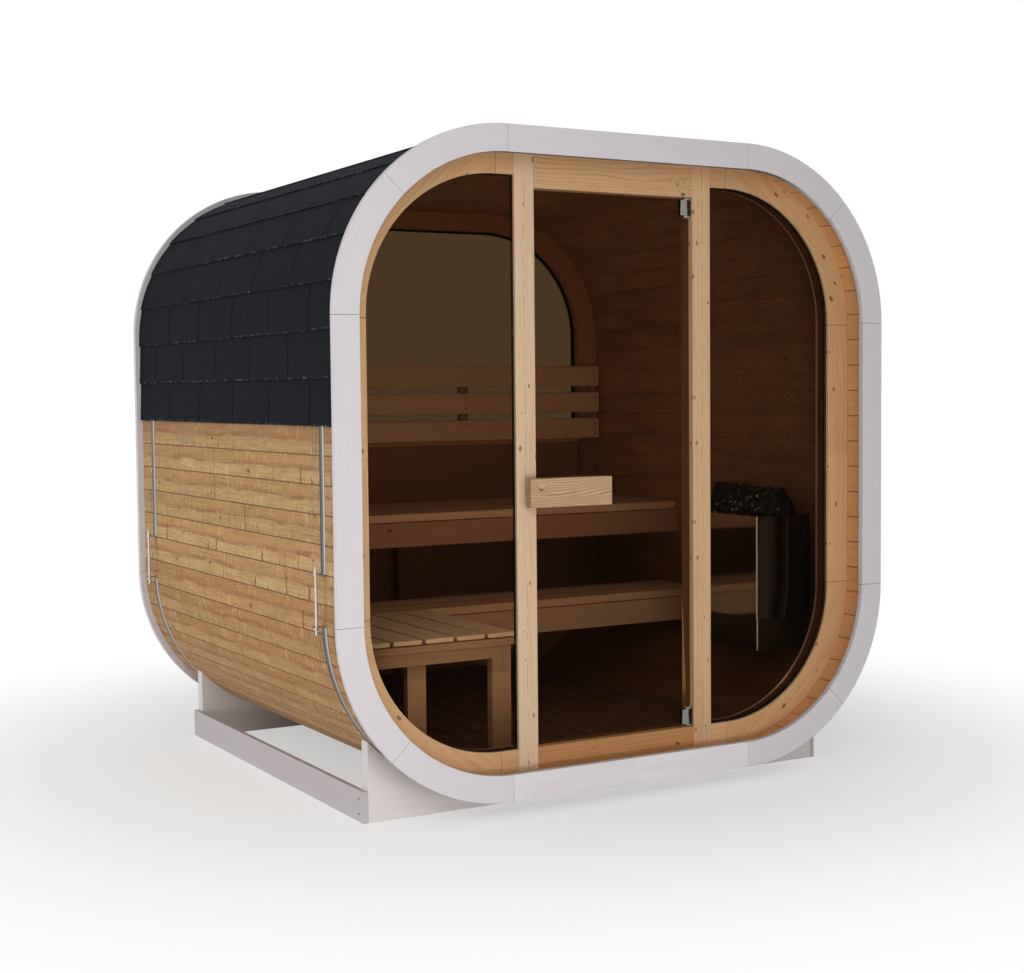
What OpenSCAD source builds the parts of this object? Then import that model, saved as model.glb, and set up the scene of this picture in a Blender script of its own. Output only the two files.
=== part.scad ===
// Outdoor sauna cabin with a rounded square body, all sizes in millimetres.
// Origin: middle of the footprint on the ground. +Z up, front towards -Y.

/* [Body] */
// Outer width and height of the rounded square body, over the trim rings
body_w = 2100; // [1800:10:2400]
// Depth of the body from front trim to rear trim
body_d = 1940; // [1700:10:2600]
// Outer corner radius of the trim rings
corner_r = 590; // [560:5:620]
// Gap between the trim rings and the ground
ground_gap = 50; // [40:1:80]

/* [Shell] */
// Thickness of the tongue and groove boards
board_t = 42; // [38:1:45]
// Distance from the outside of the trim to the outside of the boards
board_inset = 23; // [20:1:30]
// Number of boards on each flat side
side_boards = 9; // [9:2:9]
// Visible width of one board
board_w = 90; // [85:1:95]
// Side of the square cutter that makes the V joints
joint_cut = 4; // [3:0.5:8]

/* [Trim] */
// Width of a trim board
trim_w = 86; // [75:1:95]
// Thickness of a trim board
trim_t = 22; // [18:1:28]
// Open seam between two trim boards
trim_seam = 1; // [0.5:0.5:2]

/* [Roof] */
// Height of the lower shingle edge above the middle of the body
skirt_z = 134; // [100:2:250]
// Exposed length of one course of shingles
course = 143; // [120:1:150]
// Thickness at the lower edge of a course
shingle_butt = 9; // [6:1:12]
// Thickness at the upper edge of a course
shingle_thin = 3; // [2:1:5]

/* [Front and rear walls] */
// Depth of the recess in front of each end wall
recess = 105; // [80:5:200]
// Thickness of the wall frames and door posts
frame_t = 70; // [60:2:80]
// Width of the side members of the wall frames
frame_side = 89; // [85:1:110]
// Width of the top and bottom members of the wall frames
frame_rail = 73; // [65:1:90]
// Clear width between the door posts
door_gap_w = 616; // [600:2:700]
// Width of a door post
post_w = 72; // [60:1:90]
// Height of the top edge of the doorway above the middle of the body
door_head = 874; // [850:1:880]
// Thickness of the glass
glass_t = 8; // [6:1:10]
// Depth of the glass behind the face of the frames
glass_set = 14; // [10:1:30]

/* [Door] */
// Width of the handle blocks
handle_w = 306; // [250:2:340]
// Height of the handle blocks
handle_h = 92; // [70:1:110]
// Thickness of the handle blocks
handle_t = 30; // [20:1:35]
// Height of a hinge
hinge_h = 64; // [55:1:75]
// Gap between the door glass and the frame above and below it
door_gap = 5; // [4:1:10]

/* [Benches] */
// Height of the upper bench seat above the ground
upper_seat_z = 877; // [840:1:900]
// Height of the lower and side bench seats above the ground
lower_seat_z = 540; // [520:1:560]
// Front of the upper bench, from the front of the body
upper_front = 1130; // [1080:5:1180]
// Front of the lower bench, from the front of the body
lower_front = 945; // [900:5:960]
// Thickness of a bench slat
slat_t = 28; // [24:1:32]
// Height of the rail under the bench slats
fascia_h = 96; // [80:1:110]

/* [Heater] */
// Width of the heater along the wall
heater_w = 410; // [380:5:430]
// Depth of the heater from the wall
heater_d = 240; // [220:5:280]
// Height of the heater housing
heater_h = 483; // [450:1:500]

/* [Base] */
// Thickness of the cradle boards
cradle_t = 45; // [40:1:60]
// Half of the length of a cradle
cradle_half = 877; // [860:1:890]
// Height of the side boards that join the cradles
skid_h = 100; // [80:1:110]
// Thickness of the side boards
skid_t = 18; // [15:1:32]

/* [Bands] */
// Width of a steel band
band_w = 36; // [30:1:40]
// Thickness of a steel band
band_t = 1.5; // [1:0.5:2]
// Distance of the bands from the ends of the body
band_inset = 150; // [130:5:160]

/* [Hidden] */
$fn = 96;

eps = 0.01;
far = 6000;
body_half = body_w / 2;
mid_z = ground_gap + body_half;
arc_c = body_half - corner_r;
shell_out = body_half - board_inset;
shell_in = shell_out - board_t;
front_y = -body_d / 2;
shell_y = body_d / 2 - trim_t;
wall_y = body_d / 2 - recess;
wall_in_y = wall_y - frame_t;
joint_half = side_boards * board_w / 2;
corner_straight = arc_c - joint_half;
shell_arc_r = shell_out - arc_c;
quarter_arc = shell_arc_r * PI / 2;
corner_boards = round((quarter_arc + 2 * corner_straight) / board_w);
corner_pitch = (quarter_arc + 2 * corner_straight) / corner_boards;
post_in = door_gap_w / 2;
post_out = post_in + post_w;
pane_x = shell_in - frame_side;
pane_z = shell_in - frame_rail;
pane_r = 445;
pane_seat = 12;
post_rebate = 34;
frame_seam_x = post_out + 66;
frame_seam_z = 457;
glass_y = wall_y - glass_set;
band_y = body_d / 2 - band_inset;
band_off = shell_out + band_t;
rod_z = mid_z - 392;
nut_dz = 78;
rod_len = 205;
rod_r = 4;
rod_off = 26;
floor_top = 160;
floor_slat_t = 20;

// ---------- outlines in the XZ plane, drawn around the middle of the body ----------

// Rounded square whose corner arcs all share the centres of the body's corners
module outline(half) {
    square([2 * half, 2 * arc_c], center = true);
    square([2 * arc_c, 2 * half], center = true);
    for (sx = [-1, 1], sz = [-1, 1])
        translate([sx * arc_c, sz * arc_c]) circle(r = half - arc_c);
}

// Ring between two rounded squares
module ring(outer, inner) {
    difference() {
        outline(outer);
        outline(inner);
    }
}

// Opening of a glazed wall, grown by g on every side
module pane_outline(g = 0) {
    cx = pane_x - pane_r;
    cz = pane_z - pane_r;
    square([2 * (pane_x + g), 2 * cz], center = true);
    square([2 * cx, 2 * (pane_z + g)], center = true);
    for (sx = [-1, 1], sz = [-1, 1])
        translate([sx * cx, sz * cz]) circle(r = pane_r + g);
}

// Rectangle given by two opposite corners
module box2(x0, z0, x1, z1) {
    translate([x0, z0]) square([x1 - x0, z1 - z0]);
}

// Carries an outline from y0 to y1, at the height of the body's middle
module along_y(y0, y1) {
    translate([0, y1, mid_z]) rotate([90, 0, 0]) linear_extrude(height = y1 - y0) children();
}

// Block given by two opposite corners
module block(x0, y0, z0, x1, y1, z1) {
    translate([x0, y0, z0]) cube([x1 - x0, y1 - y0, z1 - z0]);
}

// ---------- board shell ----------

// V joint cutters on both faces of the shell, at a point of the upper right quarter
module joint_pair(cx, cz, a, r_out, r_in) {
    translate([cx, cz]) rotate(a) {
        translate([r_out, 0]) rotate(45) square(joint_cut, center = true);
        translate([r_in, 0]) rotate(45) square(joint_cut * 0.7, center = true);
    }
}

// One flat side of the shell, drawn as the right wall
module flat_side() {
    along_y(-shell_y, shell_y) difference() {
        box2(shell_in, -joint_half, shell_out, joint_half);
        for (i = [0 : side_boards])
            joint_pair(0, (i - side_boards / 2) * board_w, 0, shell_out, shell_in);
    }
}

// Joint number i of a corner, counted along the boards from the side to the top
module corner_joint(i) {
    s = i * corner_pitch - corner_straight;
    if (s < 0)
        joint_pair(0, arc_c + s, 0, shell_out, shell_in);
    else if (s <= quarter_arc)
        joint_pair(arc_c, arc_c, s / shell_arc_r * 180 / PI, shell_out - arc_c, shell_in - arc_c);
    else
        joint_pair(arc_c - (s - quarter_arc), 0, 90, shell_out, shell_in);
}

// One corner of the shell, drawn as the upper right one
module shell_corner() {
    along_y(-shell_y, shell_y) difference() {
        intersection() {
            ring(shell_out, shell_in);
            box2(joint_half, joint_half, far, far);
        }
        for (i = [0 : corner_boards])
            corner_joint(i);
    }
}

// Turns a piece about the long axis of the body
module turned(a) {
    translate([0, 0, mid_z]) rotate([0, a, 0]) translate([0, 0, -mid_z]) children();
}

module right_wall() { color("#be9664") flat_side(); }
module left_wall() { color("#be9664") turned(180) flat_side(); }
module ceiling() { color("#b98f5c") turned(-90) flat_side(); }
module underside() { color("#b98f5c") turned(90) flat_side(); }
module upper_right_corner() { color("#be9664") shell_corner(); }
module upper_left_corner() { color("#be9664") turned(-90) shell_corner(); }
module lower_left_corner() { color("#be9664") turned(180) shell_corner(); }
module lower_right_corner() { color("#be9664") turned(90) shell_corner(); }

// ---------- roof ----------

skirt_run = arc_c - skirt_z;
roof_run = skirt_run + quarter_arc + arc_c;
courses = ceil(roof_run / course);
steps = 6;

// Point of the left roof half, s along the boards from the lower edge, o outside them
function roof_point(s, o) =
    s < skirt_run ? [-shell_out - o, skirt_z + s]
    : s < skirt_run + quarter_arc ? roof_arc_point((s - skirt_run) / shell_arc_r * 180 / PI, o)
    : [min(0, -arc_c + s - skirt_run - quarter_arc), shell_out + o];

function roof_arc_point(a, o) =
    [-arc_c - (shell_arc_r + o) * cos(a), arc_c + (shell_arc_r + o) * sin(a)];

// Saw-tooth line of the left half: every course is thick at its lower edge
roof_line = [for (i = [0 : courses - 1], k = [0 : steps])
    roof_point(min(roof_run, (i + k / steps) * course),
        shingle_butt - (shingle_butt - shingle_thin) * k / steps)];

module roof_half() {
    difference() {
        polygon(concat(roof_line, [[0, 0], [-arc_c, skirt_z]]));
        outline(shell_out, $fn = 480);
    }
}

module roof_shingles() {
    color("#24282d") difference() {
        along_y(-shell_y, shell_y) {
            roof_half();
            mirror([1, 0]) roof_half();
        }
        for (s = [-1, 1])
            along_y(s * band_y - band_w / 2 - 1, s * band_y + band_w / 2 + 1)
                outline(band_off + 0.5);
    }
}

// ---------- trim rings ----------

// Four straight boards and eight bends, parted by open seams
module trim_ring() {
    difference() {
        ring(body_half, body_half - trim_w);
        for (s = [-1, 1]) {
            translate([s * arc_c, 0]) square([trim_seam, far], center = true);
            translate([0, s * arc_c]) square([far, trim_seam], center = true);
        }
        for (q = [0 : 3])
            rotate(q * 90) translate([arc_c, arc_c]) rotate(45)
                translate([0, -trim_seam / 2]) square([far, trim_seam]);
    }
}

module front_trim() { color("#d1cdcd") along_y(front_y, front_y + trim_t) trim_ring(); }
module rear_trim() { color("#d1cdcd") along_y(-front_y - trim_t, -front_y) trim_ring(); }

// ---------- base ----------

module cradle(y0) {
    difference() {
        block(-cradle_half, y0, 0, cradle_half, y0 + cradle_t, mid_z - arc_c);
        along_y(y0 - 1, y0 + cradle_t + 1) outline(shell_out);
    }
}

cradle_y = body_d / 2 - 180;
module front_cradle() { color("#cfcac9") cradle(-cradle_y); }
module rear_cradle() { color("#cfcac9") cradle(cradle_y - cradle_t); }

module side_skids() {
    color("#cfcac9") for (s = [-1, 1])
        translate([s * (cradle_half + skid_t / 2), 0, skid_h / 2])
            cube([skid_t, 2 * cradle_y, skid_h], center = true);
}

// ---------- front wall ----------

// Slot that holds the edge of the fixed glass
module glass_slot() {
    along_y(-glass_y, -glass_y + glass_t) pane_outline(pane_seat);
}

// Post with the slot for the glass, and a rebate behind it so that the glass goes in
module post(x0) {
    difference() {
        along_y(-wall_y, -wall_in_y) intersection() {
            outline(shell_in);
            box2(x0, -shell_in, x0 + post_w, shell_in);
        }
        difference() {
            glass_slot();
            cube([2 * (post_out - pane_seat), far, far], center = true);
        }
        difference() {
            along_y(-glass_y + glass_t, -wall_in_y + 1) pane_outline();
            cube([2 * (post_out - post_rebate), far, far], center = true);
        }
    }
}

module left_post() { color("#c6a77c") post(-post_out); }
module right_post() { color("#c6a77c") post(post_in); }

module door_lintel() {
    color("#b98f5c") along_y(-wall_y, -wall_in_y)
        box2(-post_in, door_head, post_in, shell_in);
}

module door_threshold() {
    color("#b98f5c") along_y(-wall_y, -wall_in_y)
        box2(-post_in, -shell_in, post_in, -pane_z);
}

// Saw cuts between the straight and the bent pieces of a wall frame
module frame_seams() {
    for (s = [-1, 1]) {
        translate([0, s * frame_seam_z]) square([far, trim_seam], center = true);
        translate([s * frame_seam_x, 0]) square([trim_seam, far], center = true);
    }
}

// Frame beside a post, drawn as the right one
module side_frame() {
    difference() {
        along_y(-wall_y, -wall_in_y) intersection() {
            difference() {
                outline(shell_in);
                pane_outline();
                frame_seams();
            }
            box2(post_out, -far, far, far);
        }
        glass_slot();
    }
}

module front_right_frame() { color("#a87848") side_frame(); }
module front_left_frame() { color("#a87848") mirror([1, 0, 0]) side_frame(); }

module side_glass() {
    along_y(-glass_y, -glass_y + glass_t) intersection() {
        pane_outline(pane_seat);
        box2(post_out - pane_seat, -far, far, far);
    }
}

module front_right_glass() { color("#3a2817", 0.6) side_glass(); }
module front_left_glass() { color("#3a2817", 0.6) mirror([1, 0, 0]) side_glass(); }

// ---------- door ----------

door_half = post_in - 7;
door_top = mid_z + door_head - door_gap;
door_low = mid_z - pane_z + door_gap;
door_mid_y = -glass_y + glass_t / 2;
axis_x = post_in - 18;
pin_r = 3;
knuckle_r = 8;
knuckle_gap = 5;
lug_h = 6;
lug_gap = 1;
plate_t = 3;
clamp_seat = 10;
clamp_h = hinge_h - 2 * (lug_h + lug_gap);
clamp_step = 1.2;
hinge_z = [mid_z - pane_z + hinge_h / 2 + 2, mid_z + door_head - hinge_h / 2 - 2];
notch_x = axis_x - knuckle_r - knuckle_gap;
handle_x = -352;
handle_z = mid_z - 91;
handle_face = wall_y + 40;

module door_glass() {
    color("#3a2817", 0.6) difference() {
        block(-door_half, -glass_y, door_low, door_half, -glass_y + glass_t, door_top);
        for (z = hinge_z)
            block(notch_x, -glass_y - 1, z - hinge_h / 2 - knuckle_gap,
                far, -glass_y + glass_t + 1, z + hinge_h / 2 + knuckle_gap);
    }
}

// Wooden grips on both faces, on two spacers each
module door_handle() {
    inner_x = -door_half + 6;
    color("#d8bc8e") {
        block(handle_x, -handle_face, handle_z - handle_h / 2,
            handle_x + handle_w, -handle_face + handle_t, handle_z + handle_h / 2);
        block(inner_x, -wall_in_y - 10, handle_z - handle_h / 2,
            handle_x + handle_w, -wall_in_y + handle_t - 10, handle_z + handle_h / 2);
        for (x = [inner_x + 40, handle_x + handle_w - 45]) {
            translate([x, -handle_face + handle_t - 5, handle_z]) rotate([-90, 0, 0])
                cylinder(r = 9, h = handle_face - handle_t - glass_y + 5);
            translate([x, -glass_y + glass_t, handle_z]) rotate([-90, 0, 0])
                cylinder(r = 9, h = glass_y - glass_t - wall_in_y - 5);
        }
    }
}

// Clamps on the glass: each ends in the knuckle between the two lugs of its hinge, and
// the lower half of its outer face is stepped back
module door_hinge_leaves() {
    clamp_x = notch_x - clamp_seat;
    color("#c8ccd0") for (z = hinge_z) difference() {
        union() {
            block(clamp_x, door_mid_y - knuckle_r, z - clamp_h / 2,
                axis_x, door_mid_y + knuckle_r, z + clamp_h / 2);
            translate([axis_x, door_mid_y, z])
                cylinder(r = knuckle_r, h = clamp_h, center = true);
        }
        block(clamp_x - 1, -glass_y, z - hinge_h, notch_x, -glass_y + glass_t, z + hinge_h);
        block(clamp_x - 1, door_mid_y - 2 * knuckle_r, z - hinge_h,
            post_in, door_mid_y - knuckle_r + clamp_step, z);
        translate([axis_x, door_mid_y, z])
            cylinder(r = pin_r + 0.05, h = hinge_h, center = true);
    }
}

// Plates on the post with a lug above and below each clamp, and the pin through them
module hinge_plates() {
    color("#c8ccd0") for (z = hinge_z) {
        block(post_in - plate_t, door_mid_y - knuckle_r - 2, z - hinge_h / 2,
            post_in, door_mid_y + 26, z + hinge_h / 2);
        for (s = [-1, 1]) translate([0, 0, z + s * (hinge_h - lug_h) / 2 - lug_h / 2]) {
            block(axis_x, door_mid_y - knuckle_r, 0,
                post_in - plate_t + eps, door_mid_y + knuckle_r, lug_h);
            translate([axis_x, door_mid_y, 0]) cylinder(r = knuckle_r, h = lug_h);
        }
        translate([axis_x, door_mid_y, z]) cylinder(r = pin_r, h = hinge_h - 4, center = true);
    }
}

// ---------- rear wall ----------

sill_top = 70;
sill_h = 60;

module rear_frame() {
    color("#a87848") difference() {
        along_y(wall_in_y, wall_y) difference() {
            outline(shell_in);
            pane_outline();
            frame_seams();
        }
        along_y(glass_y - glass_t, glass_y) intersection() {
            pane_outline(pane_seat);
            box2(-far, sill_top - pane_seat, far, far);
        }
    }
}

module rear_sill() {
    color("#a87848") difference() {
        along_y(wall_in_y, wall_y) intersection() {
            pane_outline();
            box2(-far, sill_top - sill_h, far, sill_top);
        }
        along_y(glass_y - glass_t, glass_y) box2(-far, sill_top - pane_seat, far, far);
    }
}

module rear_glass() {
    color("#3a2817", 0.6) along_y(glass_y - glass_t, glass_y) intersection() {
        pane_outline(pane_seat);
        box2(-far, sill_top - pane_seat, far, far);
    }
}

// Horizontal boards below the rear window, parted by V joints on the outside
module rear_boards() {
    top = sill_top - sill_h;
    rows = floor((pane_z + top) / board_w);
    color("#b98f5c") difference() {
        along_y(wall_in_y + 10, wall_y - 10) intersection() {
            pane_outline();
            box2(-far, -far, far, top);
        }
        for (i = [1 : rows])
            translate([0, wall_y - 10, mid_z + top - i * board_w]) rotate([45, 0, 0])
                cube([far, joint_cut, joint_cut], center = true);
    }
}

// ---------- inside ----------

// Keeps a fitting inside the shell, with a gap to the boards
module inside_shell(gap = 0) {
    intersection() {
        children();
        along_y(-wall_in_y, wall_in_y) outline(shell_in - gap);
    }
}

module floor_slats() {
    n = 12;
    pitch = 100;
    color("#b08a5c") inside_shell() {
        for (i = [0 : n - 1])
            translate([(i - n / 2) * pitch + 5, -wall_in_y + 5, floor_top - floor_slat_t])
                cube([pitch - 10, 2 * wall_in_y - 10, floor_slat_t]);
        for (y = [-650, 0, 650])
            block(-560, y - 22, mid_z - shell_in, 560, y + 22, floor_top - floor_slat_t + eps);
    }
}

upper_y = front_y + upper_front;
lower_y = front_y + lower_front;
side_y = front_y + 280;
side_x = -290;
slat_gap = 12;
slat_play = 4;
nose_r = 34;

// Row of n slats along X over a depth, the front one with rounded front corners
module slats_x(z, y0, depth, n) {
    w = (depth - (n - 1) * slat_gap) / n;
    x1 = shell_in - slat_play;
    for (i = [1 : n - 1])
        block(-x1, y0 + i * (w + slat_gap), z - slat_t, x1, y0 + i * (w + slat_gap) + w, z);
    translate([0, y0, z - slat_t]) linear_extrude(height = slat_t) {
        box2(-x1, nose_r, x1, w);
        box2(-x1 + nose_r, 0, x1 - nose_r, w);
        for (s = [-1, 1]) translate([s * (x1 - nose_r), nose_r]) circle(r = nose_r);
    }
}

module upper_bench_slats() {
    color("#a87c55") inside_shell(slat_play)
        slats_x(upper_seat_z, upper_y, wall_in_y - upper_y - 5, 6);
}

module upper_bench_frame() {
    rail_z = upper_seat_z - slat_t;
    color("#a87c55") inside_shell() {
        block(-shell_in + 6, upper_y + 5, rail_z - fascia_h, shell_in - 6, upper_y + 33, rail_z);
        for (x = [-shell_in, -22, shell_in - 44])
            block(x, upper_y + 33, rail_z - fascia_h + 10, x + 44, wall_in_y - 5, rail_z);
        block(-22, wall_in_y - 50, floor_top, 22, wall_in_y - 5, rail_z - fascia_h + 10 + eps);
    }
}

module lower_bench_slats() {
    color("#a87c55") inside_shell(slat_play) slats_x(lower_seat_z, lower_y, 300, 3);
}

module lower_bench_frame() {
    rail_z = lower_seat_z - slat_t;
    color("#a87c55") inside_shell() {
        block(-far, lower_y + 5, rail_z - fascia_h, far, lower_y + 33, rail_z);
        block(-far, lower_y + 262, rail_z - 60, far, lower_y + 290, rail_z);
        for (x = [-300, 262])
            block(x, lower_y + 33, rail_z - 60, x + 44, lower_y + 262, rail_z);
    }
}

nose_t = 14;
nose_strip_h = 27;
side_rail_h = 40;
end_rail_h = 86;
leg_w = 70;

// Slats towards the lower bench, rebated at the front over a strip
module side_bench_slats() {
    n = 6;
    x0 = -shell_in + 20;
    pitch = (side_x - x0 + slat_gap) / n;
    color("#a87c55") difference() {
        inside_shell(slat_play) for (i = [0 : n - 1])
            block(x0 + i * pitch, side_y, lower_seat_z - slat_t,
                x0 + (i + 1) * pitch - slat_gap, lower_y - 4, lower_seat_z);
        block(-far, side_y - 10, 0, far, side_y + 34, lower_seat_z - nose_t);
    }
}

module side_bench_frame() {
    nose_z = lower_seat_z - nose_t;
    rail_z = nose_z - nose_strip_h - 2;
    low_z = lower_seat_z - slat_t;
    end_x = side_x - 16;
    leg_y = side_y + 6;
    color("#a87c55") inside_shell() {
        block(-far, side_y - 2, nose_z - nose_strip_h, side_x, side_y + 24, nose_z);
        block(-far, side_y + 6, rail_z - side_rail_h, end_x - leg_w, side_y + 34, nose_z - eps);
        block(-far, lower_y - 60, low_z - side_rail_h, end_x, lower_y - 32, low_z);
        block(end_x - 28, side_y + 4, rail_z - end_rail_h, end_x, lower_y - 32, rail_z);
        block(end_x - 28, side_y + 24, rail_z - eps, end_x, lower_y - 32, low_z);
        block(end_x - leg_w, leg_y, floor_top, end_x, leg_y + 34, rail_z);
        block(end_x - leg_w, leg_y + 4, rail_z - eps, end_x, leg_y + 18, nose_z - nose_strip_h + eps);
        block(-672, side_y + 34 - eps, 0, -606, side_y + 62, rail_z);
    }
}

rest_y = front_y + 1720;
rest_top = mid_z + 342;
rest_slat = 88;
rest_pitch = 114;

module backrest_slats() {
    color("#a87c55") for (i = [0 : 2])
        block(-shell_in + 15, rest_y, rest_top - i * rest_pitch - rest_slat,
            shell_in - 15, rest_y + 22, rest_top - i * rest_pitch);
}

module backrest_battens() {
    color("#a87c55") for (x = [-950, -307, 307, 950])
        block(x - 20, rest_y + 22, rest_top - 2 * rest_pitch - rest_slat,
            x + 20, wall_in_y, rest_top);
}

// ---------- heater ----------

heater_x = shell_in - 55;
heater_y0 = front_y + 250;
heater_top = mid_z - 223;
heater_r = 4;
plinth_h = 115;
plinth_set = 8;
stone_tray = 120;
tray_wall = 20;

// Plan of the housing, drawn in by g on its free sides and by twice that at the wall
module heater_plan(g = 0) {
    x0 = heater_x - heater_d + g;
    y0 = heater_y0 + g;
    y1 = heater_y0 + heater_w - g;
    translate([x0 + heater_r, y0]) square([heater_d - 3 * g - heater_r, y1 - y0]);
    translate([x0, y0 + heater_r]) square([heater_d - 3 * g, y1 - y0 - 2 * heater_r]);
    for (y = [y0 + heater_r, y1 - heater_r])
        translate([x0 + heater_r, y]) circle(r = heater_r);
}

// Inside of the stone tray, in plan
module tray_plan() {
    translate([heater_x - heater_d + tray_wall, heater_y0 + tray_wall])
        square([heater_d - 2 * tray_wall, heater_w - 2 * tray_wall]);
}

module heater_housing() {
    z0 = heater_top - heater_h;
    color("#2a2a2c") {
        difference() {
            translate([0, 0, z0 + plinth_h]) linear_extrude(height = heater_h - plinth_h)
                heater_plan();
            translate([0, 0, heater_top - stone_tray]) linear_extrude(height = stone_tray + 10)
                tray_plan();
        }
        translate([0, 0, z0]) linear_extrude(height = plinth_h + eps) heater_plan(plinth_set);
    }
}

// A stone is what two turned cubes have in common
module stone(size, a) {
    intersection() {
        rotate([a, a * 2.1, a * 0.7]) cube([size, size * 0.85, size * 0.7], center = true);
        rotate([a * 1.7, -a, 40 + a]) cube(size * 0.95, center = true);
    }
}

// Heap of stones: it fills the tray and rises above the rim
module heater_stones() {
    color("#1d1d1f") {
        translate([0, 0, heater_top - stone_tray]) linear_extrude(height = stone_tray) tray_plan();
        intersection() {
            for (i = [0 : 2], j = [0 : 4])
                translate([heater_x - heater_d + 60 + i * 67, heater_y0 + 62 + j * 72,
                    heater_top + 22 + 30 * sin(60 * (i + 1)) * sin(30 + 30 * j)])
                    stone(92, 25 + 37 * i + 23 * j);
            translate([0, 0, heater_top]) linear_extrude(height = far) heater_plan();
        }
    }
}

module heater_bracket() {
    color("#3a3a3c") inside_shell() for (y = [heater_y0 + 80, heater_y0 + heater_w - 120])
        block(heater_x, y, heater_top - heater_h + plinth_h + 5, shell_in, y + 40, heater_top - 60);
}

// ---------- steel bands ----------

bend_r = 4;
bend_steps = 8;
bend_z = nut_dz + band_t + bend_r;
band_lap = 2;
foot_reach = rod_off + 12;
nut_h = 6.5;
nut_r = 7.5;
washer_r = 8;
washer_t = 1.6;

// Points of the bend of a band at radius r, from the band down to the foot
function bend_line(r) = [for (k = [0 : bend_steps])
    [band_off + bend_r - r * cos(90 * k / bend_steps), bend_z - r * sin(90 * k / bend_steps)]];

// Bent end of a band in the XZ plane, above the middle of its rod: the band turns
// outwards round a small radius and runs on as a foot
module foot_profile() {
    polygon(concat([[shell_out, bend_z + band_lap]], bend_line(bend_r + band_t),
        [[shell_out + foot_reach + 1, nut_dz], [shell_out + foot_reach + 1, nut_dz + band_t]],
        [for (k = [0 : bend_steps]) bend_line(bend_r)[bend_steps - k]],
        [[band_off, bend_z + band_lap]]));
}

// Outline of a foot from above, with the hole for the rod
module foot_plan() {
    r = 9;
    x1 = shell_out + foot_reach;
    difference() {
        union() {
            box2(shell_out - 5, -band_w / 2, x1 - r, band_w / 2);
            box2(shell_out - 5, -band_w / 2 + r, x1, band_w / 2 - r);
            for (s = [-1, 1]) translate([x1 - r, s * (band_w / 2 - r)]) circle(r = r);
        }
        translate([shell_out + rod_off, 0]) circle(r = rod_r + 0.5);
    }
}

// The two feet of a tensioner on the right side, for a band at y = 0
module feet() {
    for (m = [0, 1]) translate([0, 0, rod_z]) mirror([0, 0, m]) intersection() {
        rotate([90, 0, 0]) linear_extrude(height = band_w + 2, center = true) foot_profile();
        linear_extrude(height = far) foot_plan();
    }
}

// A band is open at both tensioners
module band(y) {
    open_h = 2 * (bend_z + band_lap);
    color("#7d7a74") {
        difference() {
            along_y(y - band_w / 2, y + band_w / 2) ring(band_off, shell_out);
            translate([0, y, rod_z]) cube([far, 2 * band_w, open_h], center = true);
        }
        for (m = [0, 1]) translate([0, y, 0]) mirror([m, 0, 0]) feet();
    }
}

module front_band() { band(-band_y); }
module rear_band() { band(band_y); }

// Threaded rods with a washer and a nut behind each foot
module band_tensioners() {
    color("#c8ccd0") for (sx = [-1, 1], sy = [-1, 1])
        translate([sx * (shell_out + rod_off), sy * band_y, rod_z]) {
            cylinder(r = rod_r, h = rod_len, center = true);
            for (m = [0, 1]) mirror([0, 0, m]) translate([0, 0, nut_dz + band_t]) {
                cylinder(r = washer_r, h = washer_t + eps);
                translate([0, 0, washer_t]) cylinder(r = nut_r, h = nut_h, $fn = 6);
            }
        }
}

front_cradle();
rear_cradle();
side_skids();
left_wall();
right_wall();
ceiling();
underside();
lower_left_corner();
lower_right_corner();
upper_left_corner();
upper_right_corner();
roof_shingles();
front_trim();
rear_trim();
left_post();
right_post();
door_lintel();
door_threshold();
front_left_frame();
front_right_frame();
front_left_glass();
front_right_glass();
door_glass();
door_handle();
door_hinge_leaves();
hinge_plates();
rear_frame();
rear_boards();
rear_sill();
rear_glass();
floor_slats();
upper_bench_slats();
upper_bench_frame();
lower_bench_slats();
lower_bench_frame();
side_bench_slats();
side_bench_frame();
backrest_slats();
backrest_battens();
heater_housing();
heater_stones();
heater_bracket();
front_band();
rear_band();
band_tensioners();
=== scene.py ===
"""Outdoor sauna cabin with a rounded square body of boards.

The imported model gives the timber, glass and steel parts. This script dresses them and adds
the roof tabs, the glazing beads, the heater stones and the screws. Sizes are in metres.
"""

import logging
import math
from collections.abc import Callable
from dataclasses import dataclass, replace
from enum import Enum
from functools import cached_property

import bmesh
import bpy
import numpy as np
from mathutils import Matrix, Vector


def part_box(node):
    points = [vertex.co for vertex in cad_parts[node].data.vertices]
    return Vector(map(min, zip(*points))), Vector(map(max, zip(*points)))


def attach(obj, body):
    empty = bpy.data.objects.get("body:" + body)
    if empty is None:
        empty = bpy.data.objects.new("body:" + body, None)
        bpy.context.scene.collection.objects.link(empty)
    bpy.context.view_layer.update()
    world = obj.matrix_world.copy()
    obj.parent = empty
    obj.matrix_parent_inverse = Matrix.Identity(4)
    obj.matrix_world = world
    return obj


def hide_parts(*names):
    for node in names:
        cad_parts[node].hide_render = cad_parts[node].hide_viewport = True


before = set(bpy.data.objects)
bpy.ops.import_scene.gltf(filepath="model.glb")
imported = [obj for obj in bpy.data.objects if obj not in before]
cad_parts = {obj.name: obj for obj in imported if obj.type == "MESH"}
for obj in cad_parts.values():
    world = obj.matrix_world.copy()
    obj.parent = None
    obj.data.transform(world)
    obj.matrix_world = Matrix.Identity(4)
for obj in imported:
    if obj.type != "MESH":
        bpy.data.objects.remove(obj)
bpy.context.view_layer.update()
log = logging.getLogger("sauna")

Trio = tuple[float, float, float]
Socket = bpy.types.NodeSocket
Material = bpy.types.Material
QUARTER = math.pi / 2
WHITE: Trio = (1.0, 1.0, 1.0)
NEVER = 9.0  # a height or half depth, in metres, that nothing on the cabin reaches
SLAT_PITCH = 0.114  # from one slat of the backrest to the next


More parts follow.
